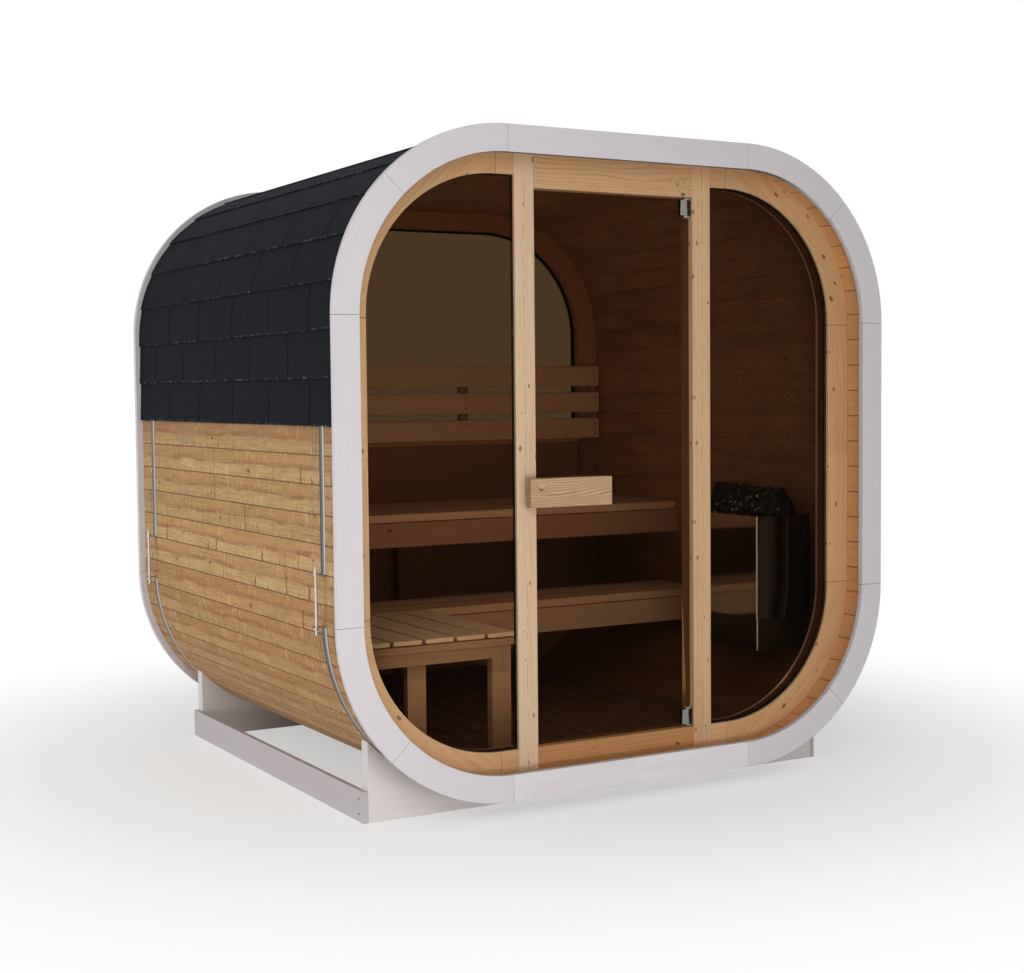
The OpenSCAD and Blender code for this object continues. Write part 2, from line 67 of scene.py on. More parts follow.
def tint(red: int, green: int, blue: int) -> Trio:
    """Turns a screen colour into the linear colour that shaders use.

    A low share is divided by 12.92, and the others follow a power of 2.4.

    Args:
        red: Red, 0 to 255.
        green: Green, 0 to 255.
        blue: Blue, 0 to 255.

    Returns:
        The three linear shares, 0 to 1.
    """
    share = np.array([red, green, blue]) / 255
    curve = np.where(share <= 0.04045, share / 12.92, ((share + 0.055) / 1.055) ** 2.4)
    return tuple(float(c) for c in curve)


# ---------------------------------------------------------------- shader maths


def operation(name: str, swapped: bool = False) -> Callable[..., "Reading"]:
    """Makes a method of Reading that adds a Math node.

    Args:
        name: Operation of the node.
        swapped: True to put the reading itself last.

    Returns:
        The method.
    """

    def method(self: "Reading", *others: object) -> "Reading":
        """Adds the node and gives its result."""
        return self.math(name, *((*others, self) if swapped else (self, *others)))

    return method


class Reading:
    """A number that varies over a surface, on which shader maths is written as it is said."""

    def __init__(self, recipe: "Recipe", socket: Socket) -> None:
        """Keeps the socket and the recipe that it belongs to."""
        self.recipe = recipe
        self.socket = socket

    def math(self, name: str, *terms: object) -> "Reading":
        """One Math node on numbers or readings, in their order."""
        made = self.recipe.node("Math", {"operation": name}, dict(enumerate(terms)))
        return Reading(self.recipe, made.outputs[0])

    __add__ = __radd__ = operation("ADD")
    __sub__ = operation("SUBTRACT")
    __rsub__ = operation("SUBTRACT", swapped=True)
    __mul__ = __rmul__ = operation("MULTIPLY")
    __truediv__ = operation("DIVIDE")
    __pow__ = operation("POWER")
    __gt__ = operation("GREATER_THAN")
    __lt__ = operation("LESS_THAN")
    __abs__ = operation("ABSOLUTE")
    floor = operation("FLOOR")
    fract = operation("FRACT")
    sign = operation("SIGN")
    least = operation("MINIMUM")
    most = operation("MAXIMUM")
    arctan2 = operation("ARCTAN2")

    def ramp(self, low: float, high: float) -> "Reading":
        """Rises smoothly from 0 at low to 1 at high, or falls where high is the smaller.

        Args:
            low: Reading that gives 0.
            high: Reading that gives 1.

        Returns:
            The smooth step.
        """
        values = {"Value": self, "From Min": low, "From Max": high}
        made = self.recipe.node("MapRange", {"interpolation_type": "SMOOTHSTEP"}, values)
        return Reading(self.recipe, made.outputs[0])


class Recipe:
    """One material, or the surroundings, in the making."""

    def __init__(self, name: str, world: bool = False) -> None:
        """Starts an empty node tree with its output.

        Args:
            name: Name of the material or the surroundings.
            world: True to make surroundings.
        """
        self.made = (bpy.data.worlds if world else bpy.data.materials).new(name)
        self.made.use_nodes = True
        self.tree = self.made.node_tree
        self.tree.nodes.clear()
        self.output = self.node("OutputWorld" if world else "OutputMaterial")

    @cached_property
    def place(self) -> Socket:
        """Place on the piece, in metres."""
        return self.node("TexCoord").outputs["Object"]

    def node(
        self, kind: str, settings: dict | None = None, values: dict | None = None
    ) -> bpy.types.Node:
        """Adds a node of any type.

        Args:
            kind: The node's type, without ShaderNode before it.
            settings: Its properties, set first.
            values: What its sockets take, by name or number: a value, reading or socket.

        Returns:
            The node.
        """
        made = self.tree.nodes.new("ShaderNode" + kind)
        for name, setting in (settings or {}).items():
            setattr(made, name, setting)
        for key, value in (values or {}).items():
            socket = made.inputs[key]
            source = value.socket if isinstance(value, Reading) else value
            if isinstance(source, Socket):
                self.tree.links.new(source, socket)
            elif socket.type == "RGBA" and len(source) == 3:
                socket.default_value = (*source, 1.0)
            else:
                socket.default_value = source
        return made

    def axes(self, vector: Socket) -> tuple[Reading, Reading, Reading]:
        """The three numbers of a vector."""
        parts = self.node("SeparateXYZ", None, {0: vector}).outputs
        return tuple(Reading(self, part) for part in parts)

    def vector(self, *parts: object) -> Socket:
        """A vector out of three numbers or readings."""
        return self.node("CombineXYZ", None, dict(enumerate(parts))).outputs[0]

    def vector_math(self, name: str, a: object, b: object) -> Socket:
        """One Vector Math node on two vectors."""
        return self.node("VectorMath", {"operation": name}, {0: a, 1: b}).outputs[0]

    def noise(
        self, vector: Socket, steps: Trio, detail: float = 2.0, rough: float = 0.5
    ) -> Reading:
        """Cloudy noise around 0.5.

        Args:
            vector: Where it is read, in metres.
            steps: How many times a metre it changes along each axis.
            detail: Octaves.
            rough: Strength of the finer octaves.

        Returns:
            The noise.
        """
        values = {"Vector": self.vector_math("MULTIPLY", vector, steps), "Scale": 1.0}
        values |= {"Detail": detail, "Roughness": rough}
        return Reading(self, self.node("TexNoise", None, values).outputs[0])

    def cells(
        self, vector: Socket, steps: Trio, flat: bool = False
    ) -> tuple[Reading, tuple[Reading, Reading, Reading]]:
        """Scattered cells.

        Args:
            vector: Where they are read, in metres.
            steps: Cells a metre along each axis.
            flat: True to lay the cells in a plane.

        Returns:
            The distance to the cell's point and three random numbers of the cell.
        """
        settings = {"feature": "F1", "voronoi_dimensions": "2D" if flat else "3D"}
        values = {"Vector": self.vector_math("MULTIPLY", vector, steps), "Scale": 1.0}
        made = self.node("TexVoronoi", settings, values).outputs
        return Reading(self, made["Distance"]), self.axes(made["Color"])

    def cell_edge(self, vector: Socket, steps: Trio) -> Reading:
        """Edges between cells that lie in a plane.

        Args:
            vector: Where they are read, in metres.
            steps: Cells a metre along each axis.

        Returns:
            The distance to the nearest edge.
        """
        settings = {"feature": "DISTANCE_TO_EDGE", "voronoi_dimensions": "2D"}
        values = {"Vector": self.vector_math("MULTIPLY", vector, steps), "Scale": 1.0}
        return Reading(self, self.node("TexVoronoi", settings, values).outputs["Distance"])

    def mixed(self, share: object, first: object, second: object) -> Socket:
        """Goes from the first colour to the second as share goes from 0 to 1."""
        values = {0: share, 6: first, 7: second}
        return self.node("Mix", {"data_type": "RGBA"}, values).outputs[2]

    def shaded(self, colour: object, light: Reading) -> Socket:
        """A colour made lighter or darker by a reading around 1."""
        values = {0: colour, "Scale": light}
        return self.node("VectorMath", {"operation": "SCALE"}, values).outputs[0]

    def blend(self, share: object, first: Socket, second: Socket) -> Socket:
        """Goes from the first shader to the second as share goes from 0 to 1."""
        return self.node("MixShader", None, {0: share, 1: first, 2: second}).outputs[0]

    def seen(self) -> Reading:
        """Tells what the camera sees from light that only falls on things.

        Returns:
            1 where the camera looks, straight or by way of metal or glass, else 0.
        """
        path = self.node("LightPath").outputs
        camera = Reading(self, path["Is Camera Ray"])
        return camera.most(path["Is Glossy Ray"]).most(path["Is Transmission Ray"])

    def shader(
        self,
        colour: object,
        rough: object,
        metal: object = 0.0,
        height: Reading | None = None,
        relief: float = 0.001,
        **sockets: object,
    ) -> Socket:
        """A Principled shader.

        Args:
            colour: Base colour.
            rough: Roughness.
            metal: Metallic.
            height: Height of the surface, 0 to 1, for its bump.
            relief: Depth of that bump in metres.
            **sockets: Plain values of other sockets, with _ for a space in their names.

        Returns:
            Its output.
        """
        values = {"Base Color": colour, "Roughness": rough, "Metallic": metal}
        values |= {name.replace("_", " "): value for name, value in sockets.items()}
        if height is not None:
            bump = self.node("Bump", None, {"Distance": relief, "Height": height})
            values["Normal"] = bump.outputs[0]
        return self.node("BsdfPrincipled", None, values).outputs[0]

    def show(self, shader: Socket) -> Material:
        """Closes the recipe with a shader."""
        self.tree.links.new(shader, self.output.inputs["Surface"])
        return self.made

    def finish(self, *parts: object, **sockets: object) -> Material:
        """Closes the recipe with a Principled shader of these parts."""
        return self.show(self.shader(*parts, **sockets))


# ---------------------------------------------------------------- finishes


class Grain(Enum):
    """Axes of a board: along its fibres, across them in its face, and through it."""

    X = (0, 1, 2)
    Y = (1, 0, 2)
    Z = (2, 0, 1)


class Lay(Enum):
    """How the boards of a part are turned about the long axis of the cabin."""

    STRAIGHT = "all alike"
    RING = "bends in two pieces a corner"
    FRAME = "one bent piece a corner, blocks above and below"
    LEGS = "upright below a height"


@dataclass(frozen=True)
class Section:
    """Rounded square section of the cabin's body, in metres.

    From the middle of the body, outer is the distance of the outer face, arc_c that of the
    centres of the corner arcs both ways, side_half the half height of a straight side and
    end_y the half depth. Boards are as wide as board on the sides, and corner_boards of
    them, a little narrower, go round a corner.
    """

    mid_z: float
    outer: float
    side_half: float
    end_y: float
    arc_c: float = 0.460
    board: float = 0.090
    corner_boards: int = 11

    @classmethod
    def of_model(cls) -> "Section":
        """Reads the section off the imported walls."""
        low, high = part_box("right_wall")
        return cls((low.z + high.z) / 2, high.x, (high.z - low.z) / 2, high.y)

    @property
    def arc_r(self) -> float:
        """Radius of the outer face at a corner."""
        return self.outer - self.arc_c

    @property
    def quarter(self) -> float:
        """Length of the outer face round one corner."""
        return self.arc_r * QUARTER

    @property
    def corner_pitch(self) -> float:
        """Width of a corner board."""
        return (self.quarter + 2 * (self.arc_c - self.side_half)) / self.corner_boards

    def corner_parts(self, x: Reading, z: Reading) -> tuple[Reading, Reading, Reading]:
        """Splits a place into how far it lies past the arc centres and its angle there.

        Args:
            x: Sideways place.
            z: Height above the ground.

        Returns:
            Distance past the centre sideways and upwards, and the angle from the side.
        """
        past_x = abs(x) - self.arc_c
        past_z = abs(z - self.mid_z) - self.arc_c
        return past_x, past_z, past_z.most(0.0).arctan2(past_x.most(0.0))

    def depth(self, past_x: Reading, past_z: Reading) -> Reading:
        """How far out from the middle of the body a place past the arc centres lies."""
        return (past_x.most(0.0) ** 2 + past_z.most(0.0) ** 2) ** 0.5 + self.arc_c


BODY = Section.of_model()


@dataclass(frozen=True)
class Timber:
    """Planed softwood: growth rings, reddish streaks, fibres and knots."""

    name: str
    pale: Trio
    dark: Trio
    warm: Trio
    grain: Grain = Grain.X
    lay: Lay = Lay.STRAIGHT
    # Pitch and wander of the rings, and strength of their dark lines and of the streaks.
    ring: float = 0.007
    figure: float = 7.0
    line: float = 0.45
    streak: float = 0.45
    # Knots lie a gap apart in a share of the places.
    knot_gap: float = 0.13
    knot_share: float = 0.5
    knot_r: float = 0.006
    knot: Trio = (0.09, 0.035, 0.014)
    # Difference between boards, each a cell wide on the axes where that is not 0.
    tone: float = 0.10
    cell: Trio = (0.0, 0.0, 0.0)
    start: Trio = (0.0, 0.0, 0.0)
    rough: float = 0.55
    # Height of the legs, and place of the blocks and bends of a frame.
    legs_z: float = 0.0
    block_x: float = 0.448
    bend_z: float = 0.457
    # Dark line of the pith down the middle of a post.
    pith_x: float = 0.0
    # Stain nearer to the middle than room_y; below low_z painted shade takes its place, as under
    # the benches; above top_z a painted shadow line.
    room_y: float = 0.0
    room: Trio = (0.42, 0.34, 0.44)
    low_z: float = 0.0
    low: Trio = (0.35, 0.26, 0.33)
    top_z: float = NEVER
    # Width of the dark joints between cells.
    seam: float = 0.0
    # Painted highlight: a pale line on the frame's edge towards the glass, standing in for its
    # reflection.
    arris_highlight_y: float = 0.0
    arris_highlight: Trio = tint(255, 226, 220)

    def turn(self, recipe: Recipe) -> tuple[Socket, object]:
        """Turns the pattern so that it follows each board of the part.

        Args:
            recipe: Material in the making.

        Returns:
            The turned place, and a number that tells the boards apart.
        """
        if self.lay is Lay.STRAIGHT:
            return recipe.place, 0.0
        x, _, z = recipe.axes(recipe.place)
        up = z - BODY.mid_z
        if self.lay is Lay.LEGS:
            angle = (z < self.legs_z) * QUARTER
        elif self.lay is Lay.RING:
            past_x, past_z, around = BODY.corner_parts(x, z)
            bend = (past_x > 0.0) * (past_z > 0.0)
            half = around > QUARTER / 2
            angle = (x * up).sign() * bend * (QUARTER / 4 + half * (QUARTER / 2))
            angle = angle + (1 - (past_x > 0.0)) * QUARTER
        else:
            block = abs(x) < self.block_x
            bend = (1 - block) * (abs(up) > self.bend_z)
            angle = (x * up).sign() * bend * (QUARTER / 2) + block * QUARTER
        values = {"Vector": recipe.place, "Center": (0.0, 0.0, BODY.mid_z), "Angle": angle}
        turned = recipe.node("VectorRotate", {"rotation_type": "Y_AXIS"}, values)
        return turned.outputs[0], angle * 2.0 + x.sign() * 3.0 + up.sign() * 7.0

    def figured(
        self, recipe: Recipe, along: Reading, across: Reading, deep: Reading, key: Socket
    ) -> tuple[Socket, Reading, Reading]:
        """Draws the wood.

        The rings are the contour lines of a slow noise added to the place across the
        board. Each is pale first and darkens to a sharp edge, as the fourth power of the
        fraction of its phase. Rings swell round the knots.

        Args:
            recipe: Material in the making.
            along: Place along the fibres.
            across: Place across them in the face of the board.
            deep: Place through the board.
            key: Vector that is different for every board.

        Returns:
            The colour, the height of the surface and where the knots are.
        """
        chance = recipe.node("TexWhiteNoise", None, {"Vector": key}).outputs
        moved = recipe.vector_math("MULTIPLY", chance["Color"], (7.0, 5.0, 6.0))
        lane = recipe.vector_math("ADD", recipe.vector(along, across, deep), moved)
        run, side, depth = recipe.axes(lane)
        gap = self.knot_gap
        flat = recipe.vector(run, side + depth, 0.0)
        near, (pick, size, _) = recipe.cells(flat, (0.55 / gap, 1 / gap, 1.0), flat=True)
        real = (pick > 1 - self.knot_share) * (size * 0.9 + 0.35)
        edge = near * (gap / self.knot_r)
        knot = (real - edge).ramp(-0.15, 0.1) * (real > 0.0)
        swell = edge.ramp(5.0, 0.5) * (real > 0.0)
        slow = recipe.noise(lane, (1.1, 9.0, 9.0))
        phase = (side * 0.35 + depth * 0.6) / self.ring + slow * self.figure + swell * 1.6
        late = phase.fract() ** 4
        fibre = recipe.noise(lane, (16.0, 420.0, 420.0), 2.0, 0.6)
        cloud = recipe.noise(lane, (1.5, 20.0, 20.0), 4.0, 0.6)
        patch = recipe.noise(lane, (3.0, 5.0, 5.0))
        colour = recipe.mixed(late * self.line * (patch + 0.4), self.pale, self.dark)
        colour = recipe.mixed(cloud.ramp(0.48, 0.74) * self.streak, colour, self.warm)
        colour = recipe.mixed(knot * 0.85, colour, self.knot)
        light = (Reading(recipe, chance["Value"]) - 0.5) * self.tone + 1.0
        light = light + (fibre - 0.5) * 0.22 + (patch - 0.5) * 0.12
        height = fibre * 0.5 + late * 0.3 - knot * 0.3
        return recipe.shaded(colour, light), height, knot

    def material(self) -> Material:
        """Makes the finish.

        Returns:
            The material.
        """
        recipe = Recipe(self.name)
        place, board = self.turn(recipe)
        axes = recipe.axes(place)
        plain = recipe.axes(recipe.place)
        keys = [
            ((axis - start) / step).floor() if step else board
            for axis, step, start in zip(plain, self.cell, self.start)
        ]
        lane = (axes[i] for i in self.grain.value)
        colour, height, knot = self.figured(recipe, *lane, recipe.vector(*keys))
        if self.pith_x:
            sway = recipe.noise(recipe.place, (0.0, 0.0, 7.0), 3.0) - 0.5
            broken = recipe.noise(recipe.place, (3.0, 0.0, 11.0), 3.0, 0.6)
            pith = abs(abs(plain[0]) - self.pith_x + sway * 0.012).ramp(0.0017, 0.0004)
            colour = recipe.mixed(pith * broken.ramp(0.42, 0.58) * 0.7, colour, self.knot)
        if self.room_y:
            # In the room: the stain, painted shade below low_z and a painted shadow line above
            # top_z.
            share = recipe.mixed(plain[2] < self.low_z, self.room, self.low)
            stained_and_shaded = recipe.vector_math("MULTIPLY", colour, share)
            colour = recipe.mixed(abs(plain[1]) < self.room_y, colour, stained_and_shaded)
            colour = recipe.mixed((plain[2] > self.top_z) * 0.85, colour, self.knot)
        if self.seam:
            up = ((plain[2] - self.start[2]) / self.cell[2]).fract()
            away = up.least(1 - up) * self.cell[2]
            colour = recipe.mixed(away.ramp(self.seam, 0.0) * 0.8, colour, self.knot)
        if self.arris_highlight_y:
            # Painted highlight on the frame's arris, where it would catch a reflection.
            rim = abs(plain[1] + self.arris_highlight_y).ramp(0.0072, 0.0050)
            colour = recipe.mixed(rim, colour, self.arris_highlight)
        return recipe.finish(colour, self.rough - knot * 0.12, 0.0, height, 0.0006)


class Run(Enum):
    """Which way the boards of a hull part follow each other."""

    UP = "up a side"
    OVER = "across the top or bottom"
    ROUND = "round a corner"


@dataclass(frozen=True)
class HullBoards:
    """Rough sawn boards outside with cross checks, dark and smooth in the room, stained and with
    painted shade.
    """

    wood: Timber
    run: Run
    flip: float = 1.0
    skirt_z: float = 1.2
    recess_y: float = 0.862
    streak: Trio = tint(128, 78, 34)
    scratch: Trio = tint(222, 196, 152)
    recess: Trio = tint(217, 148, 88)
    # In the room a stain, and below the benches painted shade.
    room: Trio = (0.54, 0.40, 0.42)
    low: Trio = (0.27, 0.18, 0.19)
    check: Trio = tint(96, 60, 30)
    joint: Trio = tint(122, 74, 38)
    # Brown of the boards just under the shingles.
    under_shingle_brown: Trio = tint(128, 74, 34)

    def place(self, x: Reading, z: Reading) -> tuple[Reading, float, Reading]:
        """Counts the boards up to a place.

        The count is the height, the sideways place, or the arc length round the corner,
        divided by the pitch of the boards.

        Args:
            x: Sideways place.
            z: Height above the ground.

        Returns:
            The count, the pitch of the boards and the depth from the middle of the body.
        """
        if self.run is Run.UP:
            return (z - BODY.mid_z) / BODY.board + 0.5, BODY.board, abs(x)
        if self.run is Run.OVER:
            return x / BODY.board + 0.5, BODY.board, abs(z - BODY.mid_z)
        pitch = BODY.corner_pitch
        past_x, past_z, angle = BODY.corner_parts(x, z)
        length = angle * BODY.arc_r + past_z.least(0.0) - past_x.least(0.0)
        count = (length + (BODY.arc_c - BODY.side_half)) / pitch
        return count, pitch, BODY.depth(past_x, past_z)

    def crosswise(self, recipe: Recipe, y: Reading, up: Reading, number: Reading) -> Reading:
        """Short cracks across the boards, most of them in the lower half.

        Each is the edge between two cells of a row along the board, bent by a noise and
        kept where a slower noise allows it.

        Args:
            recipe: Material in the making.
            y: Place along the board.
            up: Place across it, -0.5 to 0.5 of its width.
            number: Number of the board.

        Returns:
            1 on a crack.
        """
        sway = recipe.noise(recipe.vector(y, up, number), (14.0, 5.0, 3.0), 1.0) - 0.5
        row = recipe.vector(y + sway * 0.02, number * 3.7, 0.0)
        crack = recipe.cell_edge(row, (15.0, 1.0, 1.0))
        share = recipe.noise(recipe.vector(y, number, 0.0), (11.0, 5.3, 1.0), 1.0)
        lower = (up * -1.8 + (share - 0.5) * 10.0).ramp(0.5, 0.9)
        return crack.ramp(0.022, 0.006) * lower

    def material(self) -> Material:
        """Makes the finish.

        The upper part of each board is brown above a wavy edge, darkest just over it.

        Returns:
            The material.
        """
        recipe = Recipe(f"{self.wood.name}_{self.run.name.lower()}_{self.flip:+.0f}")
        x, y, z = recipe.axes(recipe.place)
        count, pitch, depth = self.place(x, z)
        number = count.floor()
        up = (count - number - 0.5) * self.flip
        across = up * pitch
        key = recipe.vector(number, x.sign() * 2.0, (z - BODY.mid_z).sign() * 3.0)
        colour, height, knot = self.wood.figured(recipe, y, across, depth, key)
        outside = depth.ramp(BODY.outer - 0.010, BODY.outer - 0.006)
        open_air = abs(y).ramp(self.recess_y - 0.007, self.recess_y)
        bare = outside.most(open_air)
        inside = 1 - bare
        lane = recipe.vector(y + (number * 0.377).fract() * 3.0, across, number)
        wave = recipe.noise(lane, (1.4, 4.0, 1.0)) - 0.5
        strand = recipe.noise(lane, (5.0, 170.0, 1.0), 3.0, 0.65)
        edge = up + wave * 0.6 + (strand - 0.5) * 0.5
        upper = edge.ramp(-0.16, 0.14)
        patch = recipe.noise(lane, (3.5, 14.0, 1.0), 3.0, 0.6)
        band = edge.ramp(0.20, 0.0) * edge.ramp(-0.07, 0.02) * patch.ramp(0.36, 0.6)
        colour = recipe.mixed(upper * 0.42 * outside, colour, self.wood.warm)
        colour = recipe.mixed(strand.ramp(0.50, 0.70) * 0.5 * bare, colour, self.streak)
        colour = recipe.mixed(band * 0.8 * outside, colour, self.streak)
        tick = self.crosswise(recipe, y, up, number) * outside
        bent = (recipe.noise(lane, (18.0, 46.0, 1.0)) - 0.5) * 0.05
        saw = recipe.noise(recipe.vector(y + bent, across, number), (170.0, 8.0, 1.0), 1.0)
        rare = recipe.noise(lane, (8.0, 14.0, 1.0), 1.0).ramp(0.45, 0.57)
        fine = recipe.noise(lane, (24.0, 210.0, 1.0), 4.0, 0.75)
        scratch = saw.ramp(0.58, 0.69) * rare * outside
        colour = recipe.mixed(scratch * 0.65, colour, self.scratch)
        colour = recipe.mixed(tick * 0.85, colour, self.check)
        # Boards just under the shingles turn browner.
        under_shingles = z.ramp(self.skirt_z - 0.09, self.skirt_z) * outside
        colour = recipe.mixed(under_shingles * 0.4, colour, self.under_shingle_brown)
        light = (saw - 0.5) * outside * 0.25
        light = light + (fine - 0.5) * (inside * 1.1 + 1.1)
        light = light + (patch - 0.5) * (inside * 0.8 + 0.5)
        colour = recipe.shaded(colour, light + 1.0)
        colour = recipe.mixed(open_air * (1 - outside) * 0.5, colour, self.recess)
        # Painted shade: darker low down under the benches, darker towards the front and lighter
        # towards the rear.
        share = recipe.mixed(z.ramp(0.88, 0.56), self.room, self.low)
        stained_and_shaded = recipe.vector_math("MULTIPLY", colour, share)
        stained_and_shaded = recipe.shaded(stained_and_shaded, y.ramp(-0.6, 0.4) * 0.4 + 0.76)
        colour = recipe.mixed(inside, colour, stained_and_shaded)
        gap = abs(across).ramp(pitch / 2 - 0.0034, pitch / 2 - 0.0010)
        colour = recipe.mixed(gap * (bare * 0.6 + 0.1), colour, self.joint)
        relief = height + (saw + fine) * 0.5 * outside - tick * 1.2
        rough = self.wood.rough + outside * 0.15 - knot * 0.1
        return recipe.finish(colour, rough, 0.0, relief, 0.0008)


@dataclass(frozen=True)
class Paint:
    """White paint on timber: washed grain shows faintly through it, with painted shade on the
    inner edge at the top.
    """

    name: str
    coat: Trio = tint(212, 206, 209)
    wash: Trio = tint(178, 168, 165)
    low_coat: Trio = tint(228, 224, 222)
    grain: Grain = Grain.Z
    lay: Lay = Lay.STRAIGHT
    show: float = 0.12
    low_show: float = 0.0
    low_z: float = 0.95
    # Depth up to which the inner edge at the top gets painted shade, and the colour of that shade.
    shaded_reveal: float = 0.0
    reveal_shade: Trio = tint(70, 62, 58)

    def material(self) -> Material:
        """Makes the finish.

        Returns:
            The material.
        """
        recipe = Recipe(self.name)
        tones = (self.coat, self.wash, self.wash)
        under = Timber(self.name, *tones, self.grain, self.lay, knot_share=0.0)
        place, board = under.turn(recipe)
        axes = recipe.axes(place)
        lane = [axes[i] for i in self.grain.value]
        wood, height, _ = under.figured(recipe, *lane, recipe.vector(board, board, board))
        x, _, z = recipe.axes(recipe.place)
        low = (z < BODY.mid_z - self.low_z) * (abs(x) < BODY.arc_c)
        base = recipe.mixed(low, self.coat, self.low_coat)
        colour = recipe.mixed(low * self.low_show + self.show, base, wood)
        cloud = recipe.noise(recipe.place, (2.0, 2.0, 2.0), 3.0)
        streak = recipe.noise(recipe.vector(*lane), (3.0, 60.0, 60.0), 3.0)
        colour = recipe.shaded(colour, (cloud - 0.5) * 0.05 + (streak - 0.5) * 0.05 + 1.0)
        # Painted shade on the inner edge at the top, where the trim's underside lies in shadow.
        if self.shaded_reveal:
            past_x, past_z, _ = BODY.corner_parts(x, z)
            top = (BODY.depth(past_x, past_z) < self.shaded_reveal) * (z - BODY.mid_z).ramp(0.45, 0.85)
            top = top * abs(x).ramp(0.78, 0.55)
            colour = recipe.mixed(top * 0.85, colour, self.reveal_shade)
        return recipe.finish(colour, cloud * 0.1 + 0.42, 0.0, height, 0.0003)


@dataclass(frozen=True)
class Granules:
    """Mineral granules on bitumen: a dark felt with pale grains along the cut edges."""

    base: Trio = tint(19, 23, 30)
    light: Trio = tint(150, 158, 165)

    def material(self) -> Material:
        """Makes the finish on a UV map that holds the run along the roof and the distance
        from the lower edge of the tab, in metres.

        Returns:
            The material.
        """
        recipe = Recipe("shingle_granules")
        _, v, _ = recipe.axes(recipe.node("UVMap", {"uv_map": "run"}).outputs[0])
        grain, (pick, shade, _) = recipe.cells(recipe.place, (420.0, 420.0, 420.0))
        patch = recipe.noise(recipe.place, (3.0, 5.0, 5.0), 3.0)
        colour = recipe.shaded(self.base, (shade - 0.5) * 0.5 + (patch - 0.5) * 0.5 + 1.0)
        rare = recipe.noise(recipe.place, (16.0, 24.0, 24.0), 1.0).ramp(0.47, 0.56)
        chips, (chip, _, _) = recipe.cells(recipe.place, (150.0, 150.0, 150.0))
        spark = (chip > 0.6) * v.ramp(0.009, 0.001) * rare
        colour = recipe.mixed(spark * chips.ramp(0.6, 0.2) * 0.75, colour, self.light)
        rough = pick * 0.2 + 0.75
        return recipe.finish(colour, rough, 0.0, shade - grain, 0.0012, Specular_IOR_Level=0.09)


@dataclass(frozen=True)
class BronzeGlass:
    """Toughened glass toned in its mass. Lamps shine in a little more than it looks."""

    through: Trio = (0.255, 0.190, 0.122)
    lamp: Trio = (0.92, 0.90, 0.88)
    bend: float = 1.07

    def material(self) -> Material:
        """Makes the finish.

        Returns:
            The material.
        """
        recipe = Recipe("bronze_glass")
        smear = recipe.noise(recipe.place, (5.0, 5.0, 9.0), 4.0, 0.6)
        rough = smear.ramp(0.5, 0.8) * 0.02 + 0.012
        glass = recipe.shader(self.through, rough, Transmission_Weight=1.0, IOR=self.bend)
        clear = recipe.node("BsdfTransparent", None, {0: self.lamp}).outputs[0]
        shadow = recipe.node("LightPath").outputs["Is Shadow Ray"]
        return recipe.show(recipe.blend(shadow, glass, clear))


@dataclass(frozen=True)
class Steel:
    """Metal with faint brush lines and handling marks."""

    name: str
    colour: Trio
    rough: float
    brush: Trio = (6.0, 300.0, 300.0)
    marks: float = 0.08
    thread: float = 0.0
    strap_y: float = 0.0
    # Painted highlight and painted shadow for the two edges of a band.
    bright: Trio = tint(226, 222, 216)
    edge_shadow: Trio = tint(50, 40, 33)
    relief: float = 0.00004

    def brushed(self, recipe: Recipe, colour: object) -> tuple[Socket, Reading, Reading]:
        """Lays brush lines and handling marks over a colour.

        Args:
            recipe: Material in the making.
            colour: Colour of the clean metal.

        Returns:
            The colour, the roughness and the lines.
        """
        line = recipe.noise(recipe.place, self.brush, 2.0, 0.6)
        mark = recipe.noise(recipe.place, (14.0, 14.0, 14.0), 4.0, 0.6)
        colour = recipe.shaded(colour, (mark - 0.5) * 0.25 + (line - 0.5) * 0.12 + 1.0)
        return colour, (mark - 0.5) * self.marks + (line - 0.5) * 0.08 + self.rough, line

    def material(self) -> Material:
        """Makes the finish.

        Returns:
            The material.
        """
        recipe = Recipe(self.name)
        colour, rough, line = self.brushed(recipe, self.colour)
        if self.thread:
            _, _, z = recipe.axes(recipe.place)
            groove = abs((z / self.thread).fract() - 0.5).ramp(0.25, 0.45)
            colour = recipe.shaded(colour, 1.0 - groove * 0.7)
        # Painted highlight along one edge of the band and painted shadow along the other, where it
        # stands off the boards.
        if self.strap_y:
            _, y, _ = recipe.axes(recipe.place)
            across = y - y.sign() * self.strap_y
            colour = recipe.mixed(across.ramp(-0.0050, -0.0080) * 0.6, colour, self.bright)
            colour = recipe.mixed(across.ramp(0.0045, 0.0075) * 0.8, colour, self.edge_shadow)
        return recipe.finish(colour, rough, 1.0, line, self.relief)


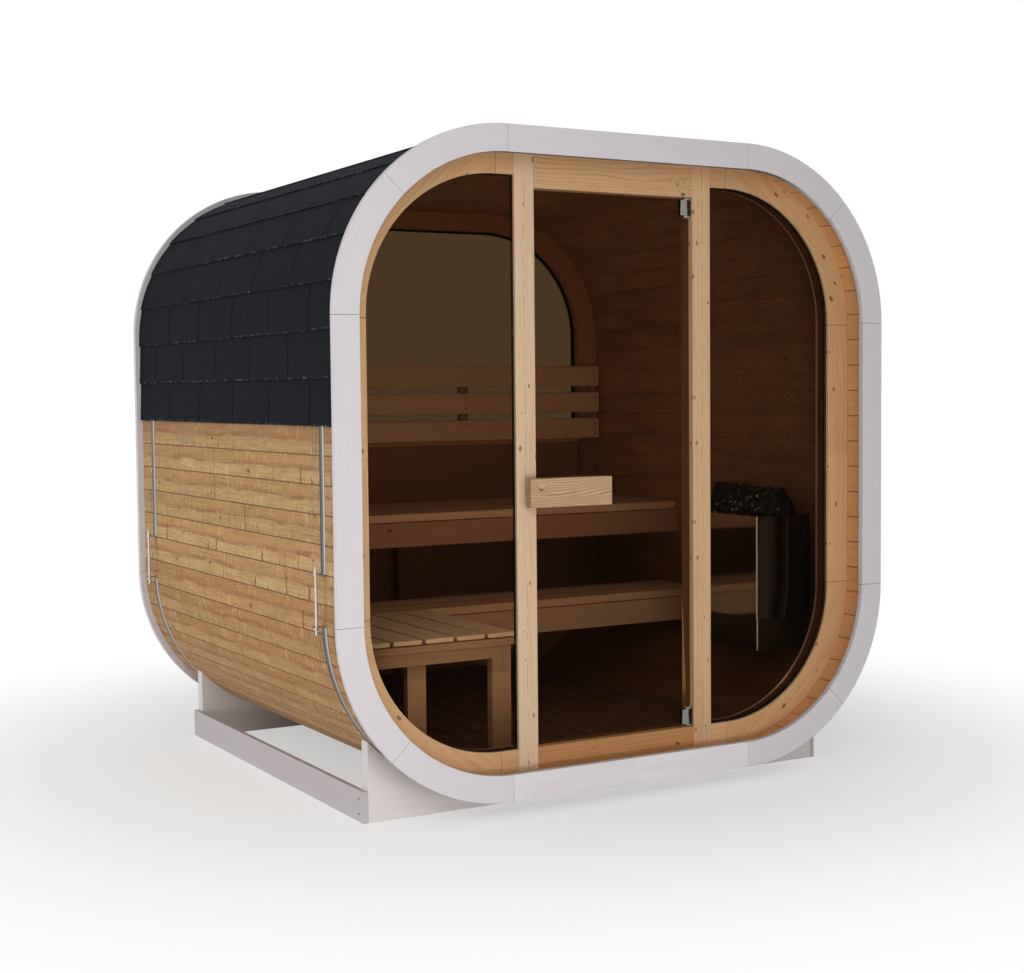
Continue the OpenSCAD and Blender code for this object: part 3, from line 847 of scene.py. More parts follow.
@dataclass(frozen=True, kw_only=True)
class HeaterSteel(Steel):
    """Polished sides, a dark front panel, a painted highlight on the front corner and a speckled
    plinth.
    """

    name: str = "heater_steel"
    colour: Trio = (0.55, 0.54, 0.53)
    rough: float = 0.06
    brush: Trio = (300.0, 300.0, 5.0)
    marks: float = 0.03
    corner: tuple[float, float]
    plinth_z: float
    plinth_set: float = 0.008
    front_play: float = 0.002
    front: Trio = (0.19, 0.20, 0.22)
    plinth: Trio = tint(112, 110, 108)
    speck: Trio = (0.6, 0.6, 0.6)
    # Painted highlight on the front corner, and its width.
    edge: Trio = tint(180, 180, 184)
    highlight_w: float = 0.0034

    def material(self) -> Material:
        """Makes the finish.

        Returns:
            The material.
        """
        recipe = Recipe(self.name)
        x, y, z = recipe.axes(recipe.place)
        low = z < self.plinth_z
        x, y = x - low * self.plinth_set, y - low * self.plinth_set
        panel = recipe.mixed(y < self.corner[1] + self.front_play, self.colour, self.front)
        _, (pick, _, _) = recipe.cells(recipe.place, (400.0, 400.0, 400.0))
        grain = recipe.mixed(pick > 0.97, self.plinth, self.speck)
        colour, rough, line = self.brushed(recipe, recipe.mixed(low, panel, grain))
        # Painted highlight: the front corner is a pale, rough, non-metal strip.
        edge = (x < self.corner[0] + self.highlight_w) * (y < self.corner[1] + self.highlight_w)
        colour = recipe.mixed(edge, colour, self.edge)
        return recipe.finish(colour, rough + edge * 0.4 + low * 0.3, 1 - edge, line, self.relief)


@dataclass(frozen=True)
class Rubber:
    """Black glazing rubber, slightly dusty."""

    colour: Trio = tint(14, 13, 13)
    dust: Trio = tint(44, 41, 38)

    def material(self) -> Material:
        """Makes the finish.

        Returns:
            The material.
        """
        recipe = Recipe("glazing_rubber")
        dust = recipe.noise(recipe.place, (30.0, 30.0, 30.0), 4.0, 0.65)
        colour = recipe.mixed(dust.ramp(0.5, 0.8) * 0.3, self.colour, self.dust)
        rough = dust * 0.2 + 0.7
        return recipe.finish(colour, rough, 0.0, dust, 0.0003, Specular_IOR_Level=0.2)


@dataclass(frozen=True)
class SplitStone:
    """Heater stone: dark, with pale crystals and a dusty surface."""

    dark: Trio = tint(10, 11, 11)
    pale: Trio = tint(28, 29, 28)
    crystal: Trio = tint(226, 224, 214)

    def material(self) -> Material:
        """Makes the finish.

        Returns:
            The material.
        """
        recipe = Recipe("sauna_stone")
        cloud = recipe.noise(recipe.place, (38.0, 38.0, 38.0), 5.0, 0.6)
        _, (pick, shade, _) = recipe.cells(recipe.place, (260.0, 260.0, 260.0))
        colour = recipe.mixed(cloud.ramp(0.4, 0.7), self.dark, self.pale)
        colour = recipe.mixed((pick > 0.985) * 0.9, colour, self.crystal)
        colour = recipe.shaded(colour, (shade - 0.5) * 0.3 + 1.0)
        return recipe.finish(colour, shade * 0.25 + 0.40, 0.0, cloud + shade * 0.3, 0.003)


# ---------------------------------------------------------------- shapes

# Points closer than this merge, on parts of the model and at the poles of new shapes.
CAD_WELD = 0.00002
POLE_WELD = 0.00005
SHARP_ANGLE = math.radians(40)  # edges that turn by more are rounded


def tube_faces(stations: int, ring: int, loop: bool = False) -> np.ndarray:
    """Quads of a tube, between each ring of points and the next.

    Args:
        stations: Rings along the tube.
        ring: Points in a ring.
        loop: True where the last ring joins the first.

    Returns:
        Four point numbers a face.
    """
    i = np.arange(stations if loop else stations - 1)[:, None]
    j = np.arange(ring)[None, :]
    after, beside = (i + 1) % stations, (j + 1) % ring
    corners = [i * ring + j, i * ring + beside, after * ring + beside, after * ring + j]
    return np.stack(corners, -1).reshape(-1, 4)


def repeated(faces: np.ndarray, count: int, points: int) -> np.ndarray:
    """The faces of one shape, numbered for a row of equal shapes of so many points."""
    return (faces[None] + (np.arange(count) * points)[:, None, None]).reshape(-1, 4)


def make_piece(
    name: str,
    points: np.ndarray,
    faces: np.ndarray,
    finish: Material,
    slot: str | None = None,
    smooth: bool = True,
    weld: float = 0.0,
    run: np.ndarray | None = None,
) -> bpy.types.Object:
    """Puts points and faces into an object that rides on the cabin.

    Args:
        name: Name of the piece.
        points: Places in metres, one row a point.
        faces: Point numbers of each face.
        finish: Its material.
        slot: Material slot of the record that it belongs to. Not used.
        smooth: True to shade it smooth.
        weld: Distance within which points merge, as at the poles of a round shape.
        run: Two numbers a point for the UV map named run.

    Returns:
        The object, at the origin.
    """
    mesh = bpy.data.meshes.new(name)
    mesh.from_pydata(points.reshape(-1, 3).tolist(), [], faces.tolist())
    if run is not None:
        loops = np.empty(len(mesh.loops), np.int64)
        mesh.loops.foreach_get("vertex_index", loops)
        layer = mesh.uv_layers.new(name="run")
        layer.data.foreach_set("uv", run.reshape(-1, 2)[loops].astype(np.float32).ravel())
    work = bmesh.new()
    work.from_mesh(mesh)
    if weld:
        bmesh.ops.remove_doubles(work, verts=work.verts[:], dist=weld)
    bmesh.ops.recalc_face_normals(work, faces=work.faces[:])
    work.to_mesh(mesh)
    work.free()
    mesh.shade_smooth() if smooth else mesh.shade_flat()
    mesh.materials.append(finish)
    piece = bpy.data.objects.new(name, mesh)
    bpy.context.scene.collection.objects.link(piece)
    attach(piece, "cabin")
    log.info("%s, %d faces", name, len(mesh.polygons))
    return piece


def dress(finish: Material, edge: float, *nodes: str) -> None:
    """Gives parts of the model their finish.

    Args:
        finish: Their material.
        edge: Radius of their rounded edges in metres, or 0 to leave them sharp.
        *nodes: Names of the parts.
    """
    for node in nodes:
        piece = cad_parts[node]
        piece.data.materials.clear()
        piece.data.materials.append(finish)
        if edge:
            piece.modifiers.new("weld", "WELD").merge_threshold = CAD_WELD
            bevel = piece.modifiers.new("edge", "BEVEL")
            bevel.width = edge
            bevel.segments = 2
            bevel.limit_method = "ANGLE"
            bevel.angle_limit = SHARP_ANGLE
            bevel.harden_normals = True
        log.info("%s in %s", node, finish.name)


# ---------------------------------------------------------------- sub-assemblies


@dataclass
class Hull:
    """Board shell with its white trims, cradles and side boards."""

    trim_w: float = 0.086
    shaded_reveal_gap: float = 0.0012
    boards: Timber = Timber(
        "hull_boards", tint(188, 153, 104), tint(152, 108, 60), tint(164, 113, 60), Grain.Y,
        ring=0.009, figure=6.0, line=0.3, streak=0.3, knot_gap=0.11, knot_share=0.45,
        knot_r=0.0055, tone=0.18, rough=0.6,
    )

    def dress_boards(self) -> None:
        """Gives every side and corner of the shell its boards."""
        skirt_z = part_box("roof_shingles")[0].z
        tones = {"pale": tint(180, 142, 93), "warm": tint(153, 101, 50)}
        low = replace(self.boards, name="low_hull_boards", **tones)
        up = HullBoards(self.boards, Run.UP, skirt_z=skirt_z)
        over, above = (HullBoards(self.boards, run) for run in (Run.OVER, Run.ROUND))
        below = HullBoards(low, Run.ROUND, -1.0)
        for boards, *nodes in (
            (up, "left_wall", "right_wall"),
            (over, "ceiling", "underside"),
            (above, "upper_left_corner", "upper_right_corner"),
            (below, "lower_left_corner", "lower_right_corner"),
        ):
            dress(boards.material(), 0.0, *nodes)

    def build(self) -> None:
        """Dresses the shell and paints the timber round it."""
        self.dress_boards()
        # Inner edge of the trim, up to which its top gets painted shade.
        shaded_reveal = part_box("front_trim")[1].x - self.trim_w + self.shaded_reveal_gap
        trim = Paint("trim_paint", lay=Lay.RING, show=0.05, low_show=0.32, shaded_reveal=shaded_reveal)
        cradle = Paint("cradle_paint", tint(222, 217, 216), grain=Grain.X, show=0.22)
        skid = Paint("skid_paint", tint(190, 183, 185), grain=Grain.Y, show=0.25)
        dress(trim.material(), 0.0015, "front_trim", "rear_trim")
        dress(cradle.material(), 0.002, "front_cradle", "rear_cradle")
        dress(skid.material(), 0.002, "side_skids")


@dataclass
class ShingleRoof:
    """Courses of bitumen tabs from the lower edges up to a row of ridge caps."""

    course: float = 0.143
    overlap: float = 0.012
    tab: float = 0.333
    slot: float = 0.005
    first_slot: float = 0.224
    least_tab: float = 0.03
    # Lift of a tab's butt and of its upper end, its thickness, and where it may not sink.
    butt: float = 0.0088
    thin: float = 0.0034
    felt: float = 0.0044
    least_felt: float = 0.0004
    ground: float = 0.0030
    stations: int = 6
    # Play of the slots along the roof, of the butts across it, and of their lift.
    slot_play: float = 0.0008
    butt_play: float = 0.0006
    lift_play: float = 0.0003
    # Start of the sheet under the tabs, and lift of its top and its underside.
    sheet: Trio = (0.004, 0.0029, 0.0018)
    sheet_stations: int = 60
    # Pitch and half width of a ridge cap, and its lifts as for a tab.
    cap_step: float = 0.146
    cap_half: float = 0.125
    cap_thin: float = 0.0098
    cap_curl: float = 0.0057
    cap_felt: float = 0.0040
    cap_ground: float = 0.0094
    cap_crown: float = 0.0012
    cap_stations: int = 5
    seed: int = 11

    @property
    def skirt_z(self) -> float:
        """Height of the lower edge above the body's middle."""
        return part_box("roof_shingles")[0].z - BODY.mid_z

    @property
    def reach(self) -> float:
        """Length of a roof half from its lower edge to the crown."""
        return BODY.arc_c - self.skirt_z + BODY.quarter + BODY.arc_c

    def point(self, run: np.ndarray, lift: np.ndarray, side: np.ndarray) -> np.ndarray:
        """Places on the roof.

        Up the side the height grows with the run. Round the corner the angle is the run
        over the arc radius. Along the top the place nears the crown. The lift is added
        along the outward normal of each stretch.

        Args:
            run: Distance along the boards from the lower edge.
            lift: Distance outside the boards.
            side: -1 for the left half and 1 for the right half.

        Returns:
            Sideways places and heights in the last axis.
        """
        skirt = BODY.arc_c - self.skirt_z
        angle = np.clip((run - skirt) / BODY.arc_r, 0, QUARTER)
        below = np.minimum(run - skirt, 0)
        beyond = np.maximum(run - skirt - BODY.quarter, 0)
        radius = BODY.arc_r + lift
        out = BODY.arc_c + radius * np.cos(angle) - beyond
        up = BODY.arc_c + radius * np.sin(angle) + below
        return np.stack([side * out, up + BODY.mid_z], -1)

    def strips(
        self, y: np.ndarray, run: np.ndarray, lift: np.ndarray, side: np.ndarray
    ) -> tuple[np.ndarray, np.ndarray, np.ndarray]:
        """Closed flat strips that follow the roof.

        Each strip is a rectangle, two edges along Y by a top and an underside, carried
        along the run.

        Args:
            y: Front and rear edge of each strip, shape (strips, 2).
            run: Runs of its stations, shape (strips, stations).
            lift: Lift of top and underside, shape (strips, stations, 2).
            side: Roof half of each strip, shape (strips,).

        Returns:
            Points, their UV and the faces.
        """
        count, stations = run.shape
        level = lift[:, :, [0, 0, 1, 1]]
        runs = np.broadcast_to(run[:, :, None], level.shape)
        flat = self.point(runs, level, np.broadcast_to(side[:, None, None], level.shape))
        ys = np.broadcast_to(y[:, None, [0, 1, 1, 0]], level.shape)
        points = np.stack([flat[..., 0], ys, flat[..., 1]], -1)
        uv = np.stack([ys, runs - run[:, :1, None]], -1)
        ends = np.array([[3, 2, 1, 0], np.arange(4) + 4 * (stations - 1)])
        shape = np.vstack([tube_faces(stations, 4), ends])
        return points, uv, repeated(shape, count, stations * 4)

    def tabs(self) -> tuple[np.ndarray, np.ndarray, np.ndarray]:
        """Tabs of all courses. Every second course is moved by half a tab.

        The lift of a tab falls evenly from its butt to its upper end.

        Returns:
            Points, their UV and the faces.
        """
        chance = np.random.default_rng(self.seed)
        end = BODY.end_y
        rows, edges, sides = [], [], []
        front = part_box("front_trim")[0].y
        for number in range(math.ceil(self.reach / self.course)):
            shift = self.first_slot + (number % 2) * self.tab / 2
            cuts = front + shift + self.tab * np.arange(-1, math.ceil(2 * end / self.tab) + 1)
            cuts = cuts[(cuts > -end + self.least_tab) & (cuts < end - self.least_tab)]
            for side in (-1.0, 1.0):
                wobble = chance.normal(0, self.slot_play, cuts.size)
                low = np.concatenate([[-end], cuts + wobble + self.slot / 2])
                high = np.concatenate([cuts + wobble - self.slot / 2, [end]])
                edges.append(np.stack([low, high], -1))
                rows.append(np.full(low.size, number * self.course))
                sides.append(np.full(low.size, side))
        y, start, side = np.concatenate(edges), np.concatenate(rows), np.concatenate(sides)
        start = start + np.where(start > 0, chance.normal(0, self.butt_play, start.size), 0)
        stop = np.minimum(start + self.course + self.overlap, self.reach)
        t = np.linspace(0, 1, self.stations)[None, :]
        run = start[:, None] + (stop - start)[:, None] * t
        puff = chance.uniform(0, self.lift_play, (start.size, 1)) * (1 - t) ** 3
        top = self.thin + (self.butt - self.thin) * (1 - t) + puff
        under = np.minimum(np.maximum(top - self.felt, self.ground), top - self.least_felt)
        return self.strips(y, run, np.stack([top, under], -1), side)

    def underlay(self) -> tuple[np.ndarray, np.ndarray, np.ndarray]:
        """One sheet under the tabs of each half, seen through the slots.

        Returns:
            Points, their UV and the faces.
        """
        start, top, under = self.sheet
        end, count = BODY.end_y, self.sheet_stations
        run = np.broadcast_to(np.linspace(start, self.reach, count), (2, count))
        lift = np.broadcast_to(np.array([top, under]), (2, count, 2))
        y = np.array([[-end, end], [-end, end]])
        points, uv, faces = self.strips(y, run, lift, np.array([-1.0, 1.0]))
        return points, uv + 0.5, faces

    def caps(self) -> tuple[np.ndarray, np.ndarray, np.ndarray]:
        """Ridge caps: short sheets across the crown that overlap towards the rear.

        The lift of a cap falls from its front edge with the square of the distance left
        to its rear edge.

        Returns:
            Points, their UV and the faces.
        """
        end, half = BODY.end_y, self.cap_half
        number = np.arange(math.ceil(2 * end / self.cap_step))
        start = -end + number * self.cap_step
        stop = np.minimum(start + 2 * self.cap_step, end)
        t = np.linspace(0, 1, self.cap_stations)
        across = np.array([-half, 0.0, half, half, 0.0, -half])
        y = start[:, None] + (stop - start)[:, None] * t
        top = self.cap_thin + self.cap_curl * (1 - t) ** 2
        under = np.maximum(top - self.cap_felt, self.cap_ground)
        lift = np.where(np.arange(6) < 3, top[:, None], under[:, None])
        crown = np.where(across == 0, self.cap_crown, 0.0)
        z = BODY.mid_z + BODY.outer + lift + crown
        shape = (number.size, t.size, 6)
        parts = (across, y[:, :, None], z[None])
        points = np.stack([np.broadcast_to(part, shape) for part in parts], -1)
        uv = np.stack([points[..., 0], points[..., 1] - start[:, None, None]], -1)
        low = np.array([[0, 1, 4, 5], [1, 2, 3, 4]])
        ends = np.vstack([low[:, ::-1], low + 6 * (t.size - 1)])
        shape = np.vstack([tube_faces(t.size, 6), ends])
        return points, uv, repeated(shape, number.size, t.size * 6)

    def build(self) -> None:
        """Joins tabs, sheets and caps into one piece that stands in for the plain roof."""
        points, uvs, faces, base = [], [], [], 0
        for part in (self.tabs(), self.underlay(), self.caps()):
            points.append(part[0].reshape(-1, 3))
            uvs.append(part[1].reshape(-1, 2))
            faces.append(part[2] + base)
            base += len(points[-1])
        shape = (np.vstack(points), np.vstack(faces), Granules().material())
        run = np.vstack(uvs)
        roof = make_piece("roof_tabs", *shape, "bitumen_shingle", smooth=False, run=run)
        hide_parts("roof_shingles")


@dataclass
class Pane:
    """Rubber beads in front of and behind one pane of glass.

    The radii belong to the corners from the lower left one on, against the clock, and the
    faces of the glass are front_y and rear_y.
    """

    low: tuple[float, float]
    high: tuple[float, float]
    radii: tuple[float, float, float, float]
    front_y: float
    rear_y: float
    width: float = 0.003
    lap: float = 0.0004
    steps: int = 24

    def outline(self, inset: float) -> np.ndarray:
        """Rounded rectangle, moved inwards.

        Each corner is an arc of its own radius, less the inset, about its own centre.

        Args:
            inset: Distance inside the sight line of the glass.

        Returns:
            Sideways places and heights, from the lower left corner on.
        """
        (x0, z0), (x1, z1) = self.low, self.high
        corners = [(x0, z0, 1, 1), (x1, z0, -1, 1), (x1, z1, -1, -1), (x0, z1, 1, -1)]
        turn = np.linspace(0, QUARTER, self.steps + 1)
        arcs = []
        for number, ((x, z, sx, sz), r) in enumerate(zip(corners, self.radii)):
            angle = turn + math.pi + number * QUARTER
            around = np.stack([np.cos(angle), np.sin(angle)], -1) * (r - inset)
            arcs.append(around + np.array([x + sx * r, z + sz * r]))
        return np.vstack(arcs)

    def bead(self, glass_y: float, out: float) -> tuple[np.ndarray, np.ndarray]:
        """A soft triangular bead between the glass and the frame.

        Args:
            glass_y: Face of the glass.
            out: 1 or -1, the way from the glass into the open.

        Returns:
            Points and faces.
        """
        w, lap = self.width, -self.lap
        insets, rise = np.array(
            [(lap, 0.0), (w, 0.0), (w * 0.75, w * 0.5), (w * 0.35, w * 0.9), (lap, w)]
        ).T
        flat = np.stack([self.outline(inset) for inset in insets], 1)
        ys = np.broadcast_to(glass_y + out * rise, flat.shape[:2])
        points = np.stack([flat[..., 0], ys, flat[..., 1]], -1)
        return points.reshape(-1, 3), tube_faces(len(flat), len(insets), True)

    def build(self, name: str, rubber: Material) -> None:
        """Lays both beads as one piece.

        Args:
            name: Name of the piece.
            rubber: Its material.
        """
        first, faces = self.bead(self.front_y, -1.0)
        second, _ = self.bead(self.rear_y, 1.0)
        faces = np.vstack([faces, faces + len(first)])
        make_piece(name, np.vstack([first, second]), faces, rubber)


@dataclass
class Walls:
    """Posts, frames and panes of both ends, and the boards under the rear window."""

    pane_x: float = 0.896
    pane_z: float = 0.912
    pane_r: float = 0.445
    sharp: float = 0.006
    rear_bead: float = 0.009
    post: Timber = Timber(
        "post_timber", tint(212, 182, 148), tint(186, 144, 100), tint(196, 152, 108), Grain.Z,
        ring=0.006, figure=6.0, line=0.35, knot_gap=0.064, knot_share=0.75, knot_r=0.0046,
        knot=tint(132, 82, 42), tone=0.03, pith_x=0.346,
    )
    beam: Timber = Timber(
        "lintel_timber", tint(202, 163, 119), tint(146, 96, 56), tint(176, 122, 76),
        figure=9.0, line=0.6, knot_gap=0.09, knot_share=0.4, knot_r=0.005, tone=0.05,
    )
    frame_wood: Timber = Timber(
        "frame_timber", tint(204, 162, 114), tint(166, 116, 70), tint(182, 128, 78), Grain.Z,
        Lay.FRAME, figure=6.0, line=0.35, knot_gap=0.08, knot_share=0.6, knot_r=0.0048,
        knot=tint(112, 66, 32), tone=0.12, room_y=0.842, arris_highlight_y=0.800,
    )
    sill: Timber = Timber(
        "threshold_timber", tint(178, 128, 80), tint(136, 86, 46), tint(152, 98, 52),
        figure=5.0, knot_gap=0.10, knot_share=0.35, knot_r=0.005,
    )
    # Inside, the rear boards get painted shade over their whole height.
    rear: Timber = Timber(
        "rear_board_timber", tint(190, 152, 104), tint(150, 106, 62), tint(166, 114, 66),
        figure=6.0, knot_gap=0.12, knot_share=0.35, cell=(0.0, 0.0, 0.09),
        start=(0.0, 0.0, 0.03), tone=0.16, room_y=0.842, low_z=NEVER, seam=0.0022,
    )

    def dress_timber(self, sill_z: float) -> None:
        """Gives posts, beams, frames and rear boards their wood.

        Args:
            sill_z: Height of the sill, below which the arch gets painted shade in the room.
        """
        tones = (tint(206, 168, 126), tint(172, 126, 82), tint(184, 134, 88))
        tones = dict(zip(("pale", "dark", "warm"), tones))
        right = replace(self.post, name="right_post_timber", **tones)
        # Below the sill the arch gets painted shade, as under the benches.
        room = {"room": (0.62, 0.43, 0.42), "low": (0.27, 0.20, 0.24), "low_z": sill_z}
        arch = replace(self.frame_wood, name="arch_timber", arris_highlight_y=0.0, **room)
        for timber, edge, *nodes in (
            (self.post, 0.002, "left_post"),
            (right, 0.002, "right_post"),
            (self.beam, 0.002, "door_lintel"),
            (self.sill, 0.002, "door_threshold", "rear_sill"),
            (self.frame_wood, 0.0015, "front_left_frame", "front_right_frame"),
            (arch, 0.0015, "rear_frame"),
            (self.rear, 0.0, "rear_boards"),
        ):
            dress(timber.material(), edge, *nodes)

    def build(self, glass: Material) -> None:
        """Dresses the walls, glazes them and lays the beads.

        Args:
            glass: Finish of the panes.
        """
        sill_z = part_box("rear_sill")[1].z
        self.dress_timber(sill_z)
        dress(glass, 0.0, "front_left_glass", "front_right_glass", "rear_glass")
        wide, post_x = self.pane_x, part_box("right_post")[1].x
        low_z, high_z = BODY.mid_z - self.pane_z, BODY.mid_z + self.pane_z
        r, s = self.pane_r, self.sharp
        face, back = (corner.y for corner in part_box("front_left_glass"))
        left = Pane((-wide, low_z), (-post_x, high_z), (r, s, s, r), face, back)
        right = Pane((post_x, low_z), (wide, high_z), (s, r, r, s), face, back)
        face, back = (corner.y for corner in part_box("rear_glass"))
        rear = Pane((-wide, sill_z), (wide, high_z), (s, s, r, r), face, back, self.rear_bead)
        rubber = Rubber().material()
        for name, pane in {"left_bead": left, "right_bead": right, "rear_bead": rear}.items():
            pane.build(name, rubber)


@dataclass
class Door:
    """Glass door with its wooden grips and chromed hinges."""

    grip: Timber = Timber(
        "grip_timber", tint(196, 160, 120), tint(110, 68, 34), tint(172, 124, 82),
        ring=0.0045, figure=16.0, line=1.2, streak=0.5, knot_gap=0.07, knot_share=0.6,
        knot_r=0.0045, knot=tint(120, 70, 34), cell=(0.0, 0.08, 0.0),
    )

    def build(self, glass: Material, chrome: Material) -> None:
        """Dresses the door and its hinges.

        Args:
            glass: Finish of the pane.
            chrome: Finish of the hinges.
        """
        dress(glass, 0.0, "door_glass")
        dress(self.grip.material(), 0.004, "door_handle")
        dress(chrome, 0.0006, "door_hinge_leaves", "hinge_plates")


@dataclass
class Benches:
    """Benches, backrest and floor of the sauna room."""

    gap: float = 0.012
    leg_z: float = 0.41
    slat_start: float = 0.188
    rail_h: float = 0.098
    shade_h: float = 0.005
    tones: tuple[Trio, Trio, Trio] = (tint(190, 154, 126), tint(150, 112, 84), tint(166, 124, 94))
    seat: tuple[Trio, Trio, Trio] = (tint(222, 200, 176), tint(188, 160, 130), tint(200, 170, 140))
    floor: tuple[Trio, Trio, Trio] = (tint(84, 58, 43), tint(62, 38, 26), tint(72, 44, 31))

    def cover(
        self,
        node: str,
        name: str,
        edge: float,
        grain: Grain = Grain.X,
        tones: tuple[Trio, Trio, Trio] | None = None,
        **own: object,
    ) -> None:
        """Gives a part its bench wood.

        Args:
            node: Name of the part.
            name: Name of the finish.
            edge: Radius of the rounded edges.
            grain: Axis of the boards.
            tones: Pale, dark and warm tone where they differ from the benches'.
            **own: Fields of Timber that differ from the rest.
        """
        common = dict(figure=6.0, knot_gap=0.14, knot_share=0.3, knot_r=0.005, tone=0.14)
        timber = Timber(name, *(tones or self.tones), grain, **(common | own))
        dress(timber.material(), edge, node)

    def dress_seats(self) -> None:
        """Gives the slats of the three benches their wood, a board in each slat."""
        for bench, axis, count, edge, tones in (
            ("upper", 1, 6, 0.004, None),
            ("lower", 1, 3, 0.004, None),
            ("side", 0, 6, 0.003, self.seat),
        ):
            node = f"{bench}_bench_slats"
            low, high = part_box(node)
            cell, start = [0.0, 0.0, 0.0], [0.0, 0.0, 0.0]
            cell[axis] = (high[axis] - low[axis] + self.gap) / count
            start[axis] = low[axis] - self.gap / 2
            grain = (Grain.Y, Grain.X)[axis]
            self.cover(node, f"{bench}_seat", edge, grain, tones, cell=cell, start=start)

    def build(self) -> None:
        """Dresses benches, backrest and floor, with a painted shadow on the frames just under the
        slats and painted shade low down.
        """
        self.dress_seats()
        # Painted shade below the upper rail, and a painted shadow line under the slats of every
        # frame.
        rail, darker = {"cell": (0, 0, 0.3)}, {"room_y": NEVER, "low": (0.30, 0.22, 0.27)}
        low_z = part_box("upper_bench_frame")[1].z - self.rail_h
        legs = {"lay": Lay.LEGS, "legs_z": self.leg_z, "low_z": self.leg_z, "low": WHITE}
        for bench, name, room, own in (
            ("upper", "upper_rail", (0.56, 0.46, 0.42), rail | {"low_z": low_z}),
            ("lower", "lower_rail", (0.84, 0.86, 0.84), rail),
            ("side", "bench_legs", (0.74, 0.76, 0.74), legs),
        ):
            node = f"{bench}_bench_frame"
            own = darker | {"room": room, "top_z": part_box(node)[1].z - self.shade_h} | own
            self.cover(node, name, 0.002, **own)
        cell, start = (0, 0, SLAT_PITCH), (0, 0, self.slat_start)
        self.cover("backrest_slats", "backrest", 0.005, cell=cell, start=start)
        # Battens get painted shade below 0.9 m.
        own = {"cell": (0.3, 0, 0), "room_y": NEVER, "low_z": 0.9}
        self.cover("backrest_battens", "battens", 0.002, Grain.Z, **own)
        cell = (0.1, 0, 0)
        self.cover("floor_slats", "floor_boards", 0.003, Grain.Y, self.floor, cell=cell)


@dataclass
class Heater:
    """Steel heater with a heap of split stones.

    The layers give the stones across and along and their distance from the housing's sides.
    """

    layers: tuple[Trio, ...] = ((3, 6, 0.052), (3, 6, 0.058), (2, 5, 0.078))
    sink: float = 0.025
    jitter: float = 0.006
    top_play: float = 0.004
    plinth_h: float = 0.115
    # Size of the stones in metres, then what a stone may be of it, and how far it is cut.
    size: float = 0.044
    sizes: tuple[float, float] = (0.8, 1.12)
    stretch: tuple[float, float] = (0.75, 1.15)
    cuts: tuple[float, float] = (0.72, 1.1)
    planes: int = 16
    power: int = 12
    least_cosine: float = 0.02
    furthest: float = 1.35
    grid: tuple[int, int] = (9, 12)
    seed: int = 5

    def stones(self, centres: np.ndarray, chance: np.random.Generator) -> np.ndarray:
        """Split stones.

        A direction is cut by each plane of a stone at the plane's distance over the
        cosine between them. The power mean of all cuts, with a high negative exponent,
        rounds the edges where planes meet.

        Args:
            centres: Middle of every stone.
            chance: Source of the random planes.

        Returns:
            Points, shape (stones, rows, columns, 3).
        """
        count, (rows, columns) = len(centres), self.grid
        polar = np.linspace(0, math.pi, rows)[:, None]
        around = np.linspace(0, 2 * math.pi, columns, endpoint=False)[None, :]
        flat = np.sin(polar)
        upright = np.cos(polar) * np.ones_like(around)
        ray = np.stack([flat * np.cos(around), flat * np.sin(around), upright], -1)
        normal = chance.normal(size=(count, self.planes, 3))
        normal /= np.linalg.norm(normal, axis=-1, keepdims=True)
        away = chance.uniform(*self.cuts, (count, 1, 1, self.planes))
        cosine = np.maximum(np.einsum("rck,npk->nrcp", ray, normal), self.least_cosine)
        reach = ((cosine / away) ** self.power).sum(-1) ** (-1 / self.power)
        reach = np.minimum(reach, self.furthest)
        stretch = chance.uniform(*self.stretch, (count, 1, 1, 3))
        size = chance.uniform(*self.sizes, (count, 1, 1, 1)) * self.size
        return centres[:, None, None, :] + ray * reach[..., None] * stretch * size

    def heap(self, chance: np.random.Generator) -> np.ndarray:
        """Lays the stones out in layers, each on a jittered grid.

        Args:
            chance: Source of the jitter.

        Returns:
            Middle of every stone.
        """
        low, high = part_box("heater_housing")
        layers = []
        for level, (nx, ny, margin) in enumerate(self.layers):
            xs = np.linspace(low.x + margin, high.x - margin, nx)
            ys = np.linspace(low.y + margin, high.y - margin, ny)
            grid = np.stack(np.meshgrid(xs, ys, indexing="ij"), -1).reshape(-1, 2)
            z = np.full((len(grid), 1), high.z - self.sink + level * self.size)
            layers.append(np.hstack([grid, z]))
        centres = np.vstack(layers)
        return centres + chance.normal(0, self.jitter, centres.shape)

    def build(self) -> None:
        """Builds the stones and dresses the housing."""
        chance = np.random.default_rng(self.seed)
        points = self.stones(self.heap(chance), chance)
        count, rows, columns, _ = points.shape
        faces = repeated(tube_faces(rows, columns), count, rows * columns)
        low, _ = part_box("heater_housing")
        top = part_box("heater_stones")[1].z + self.top_play
        points[..., 2] = np.clip(points[..., 2], low.z, top)
        shape = (points, faces, SplitStone().material())
        rocks = make_piece("heater_rocks", *shape, "stone", weld=POLE_WELD)
        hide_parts("heater_stones")
        steel = HeaterSteel(corner=(low.x, low.y), plinth_z=low.z + self.plinth_h)
        dress(steel.material(), 0.001, "heater_housing", "heater_bracket")


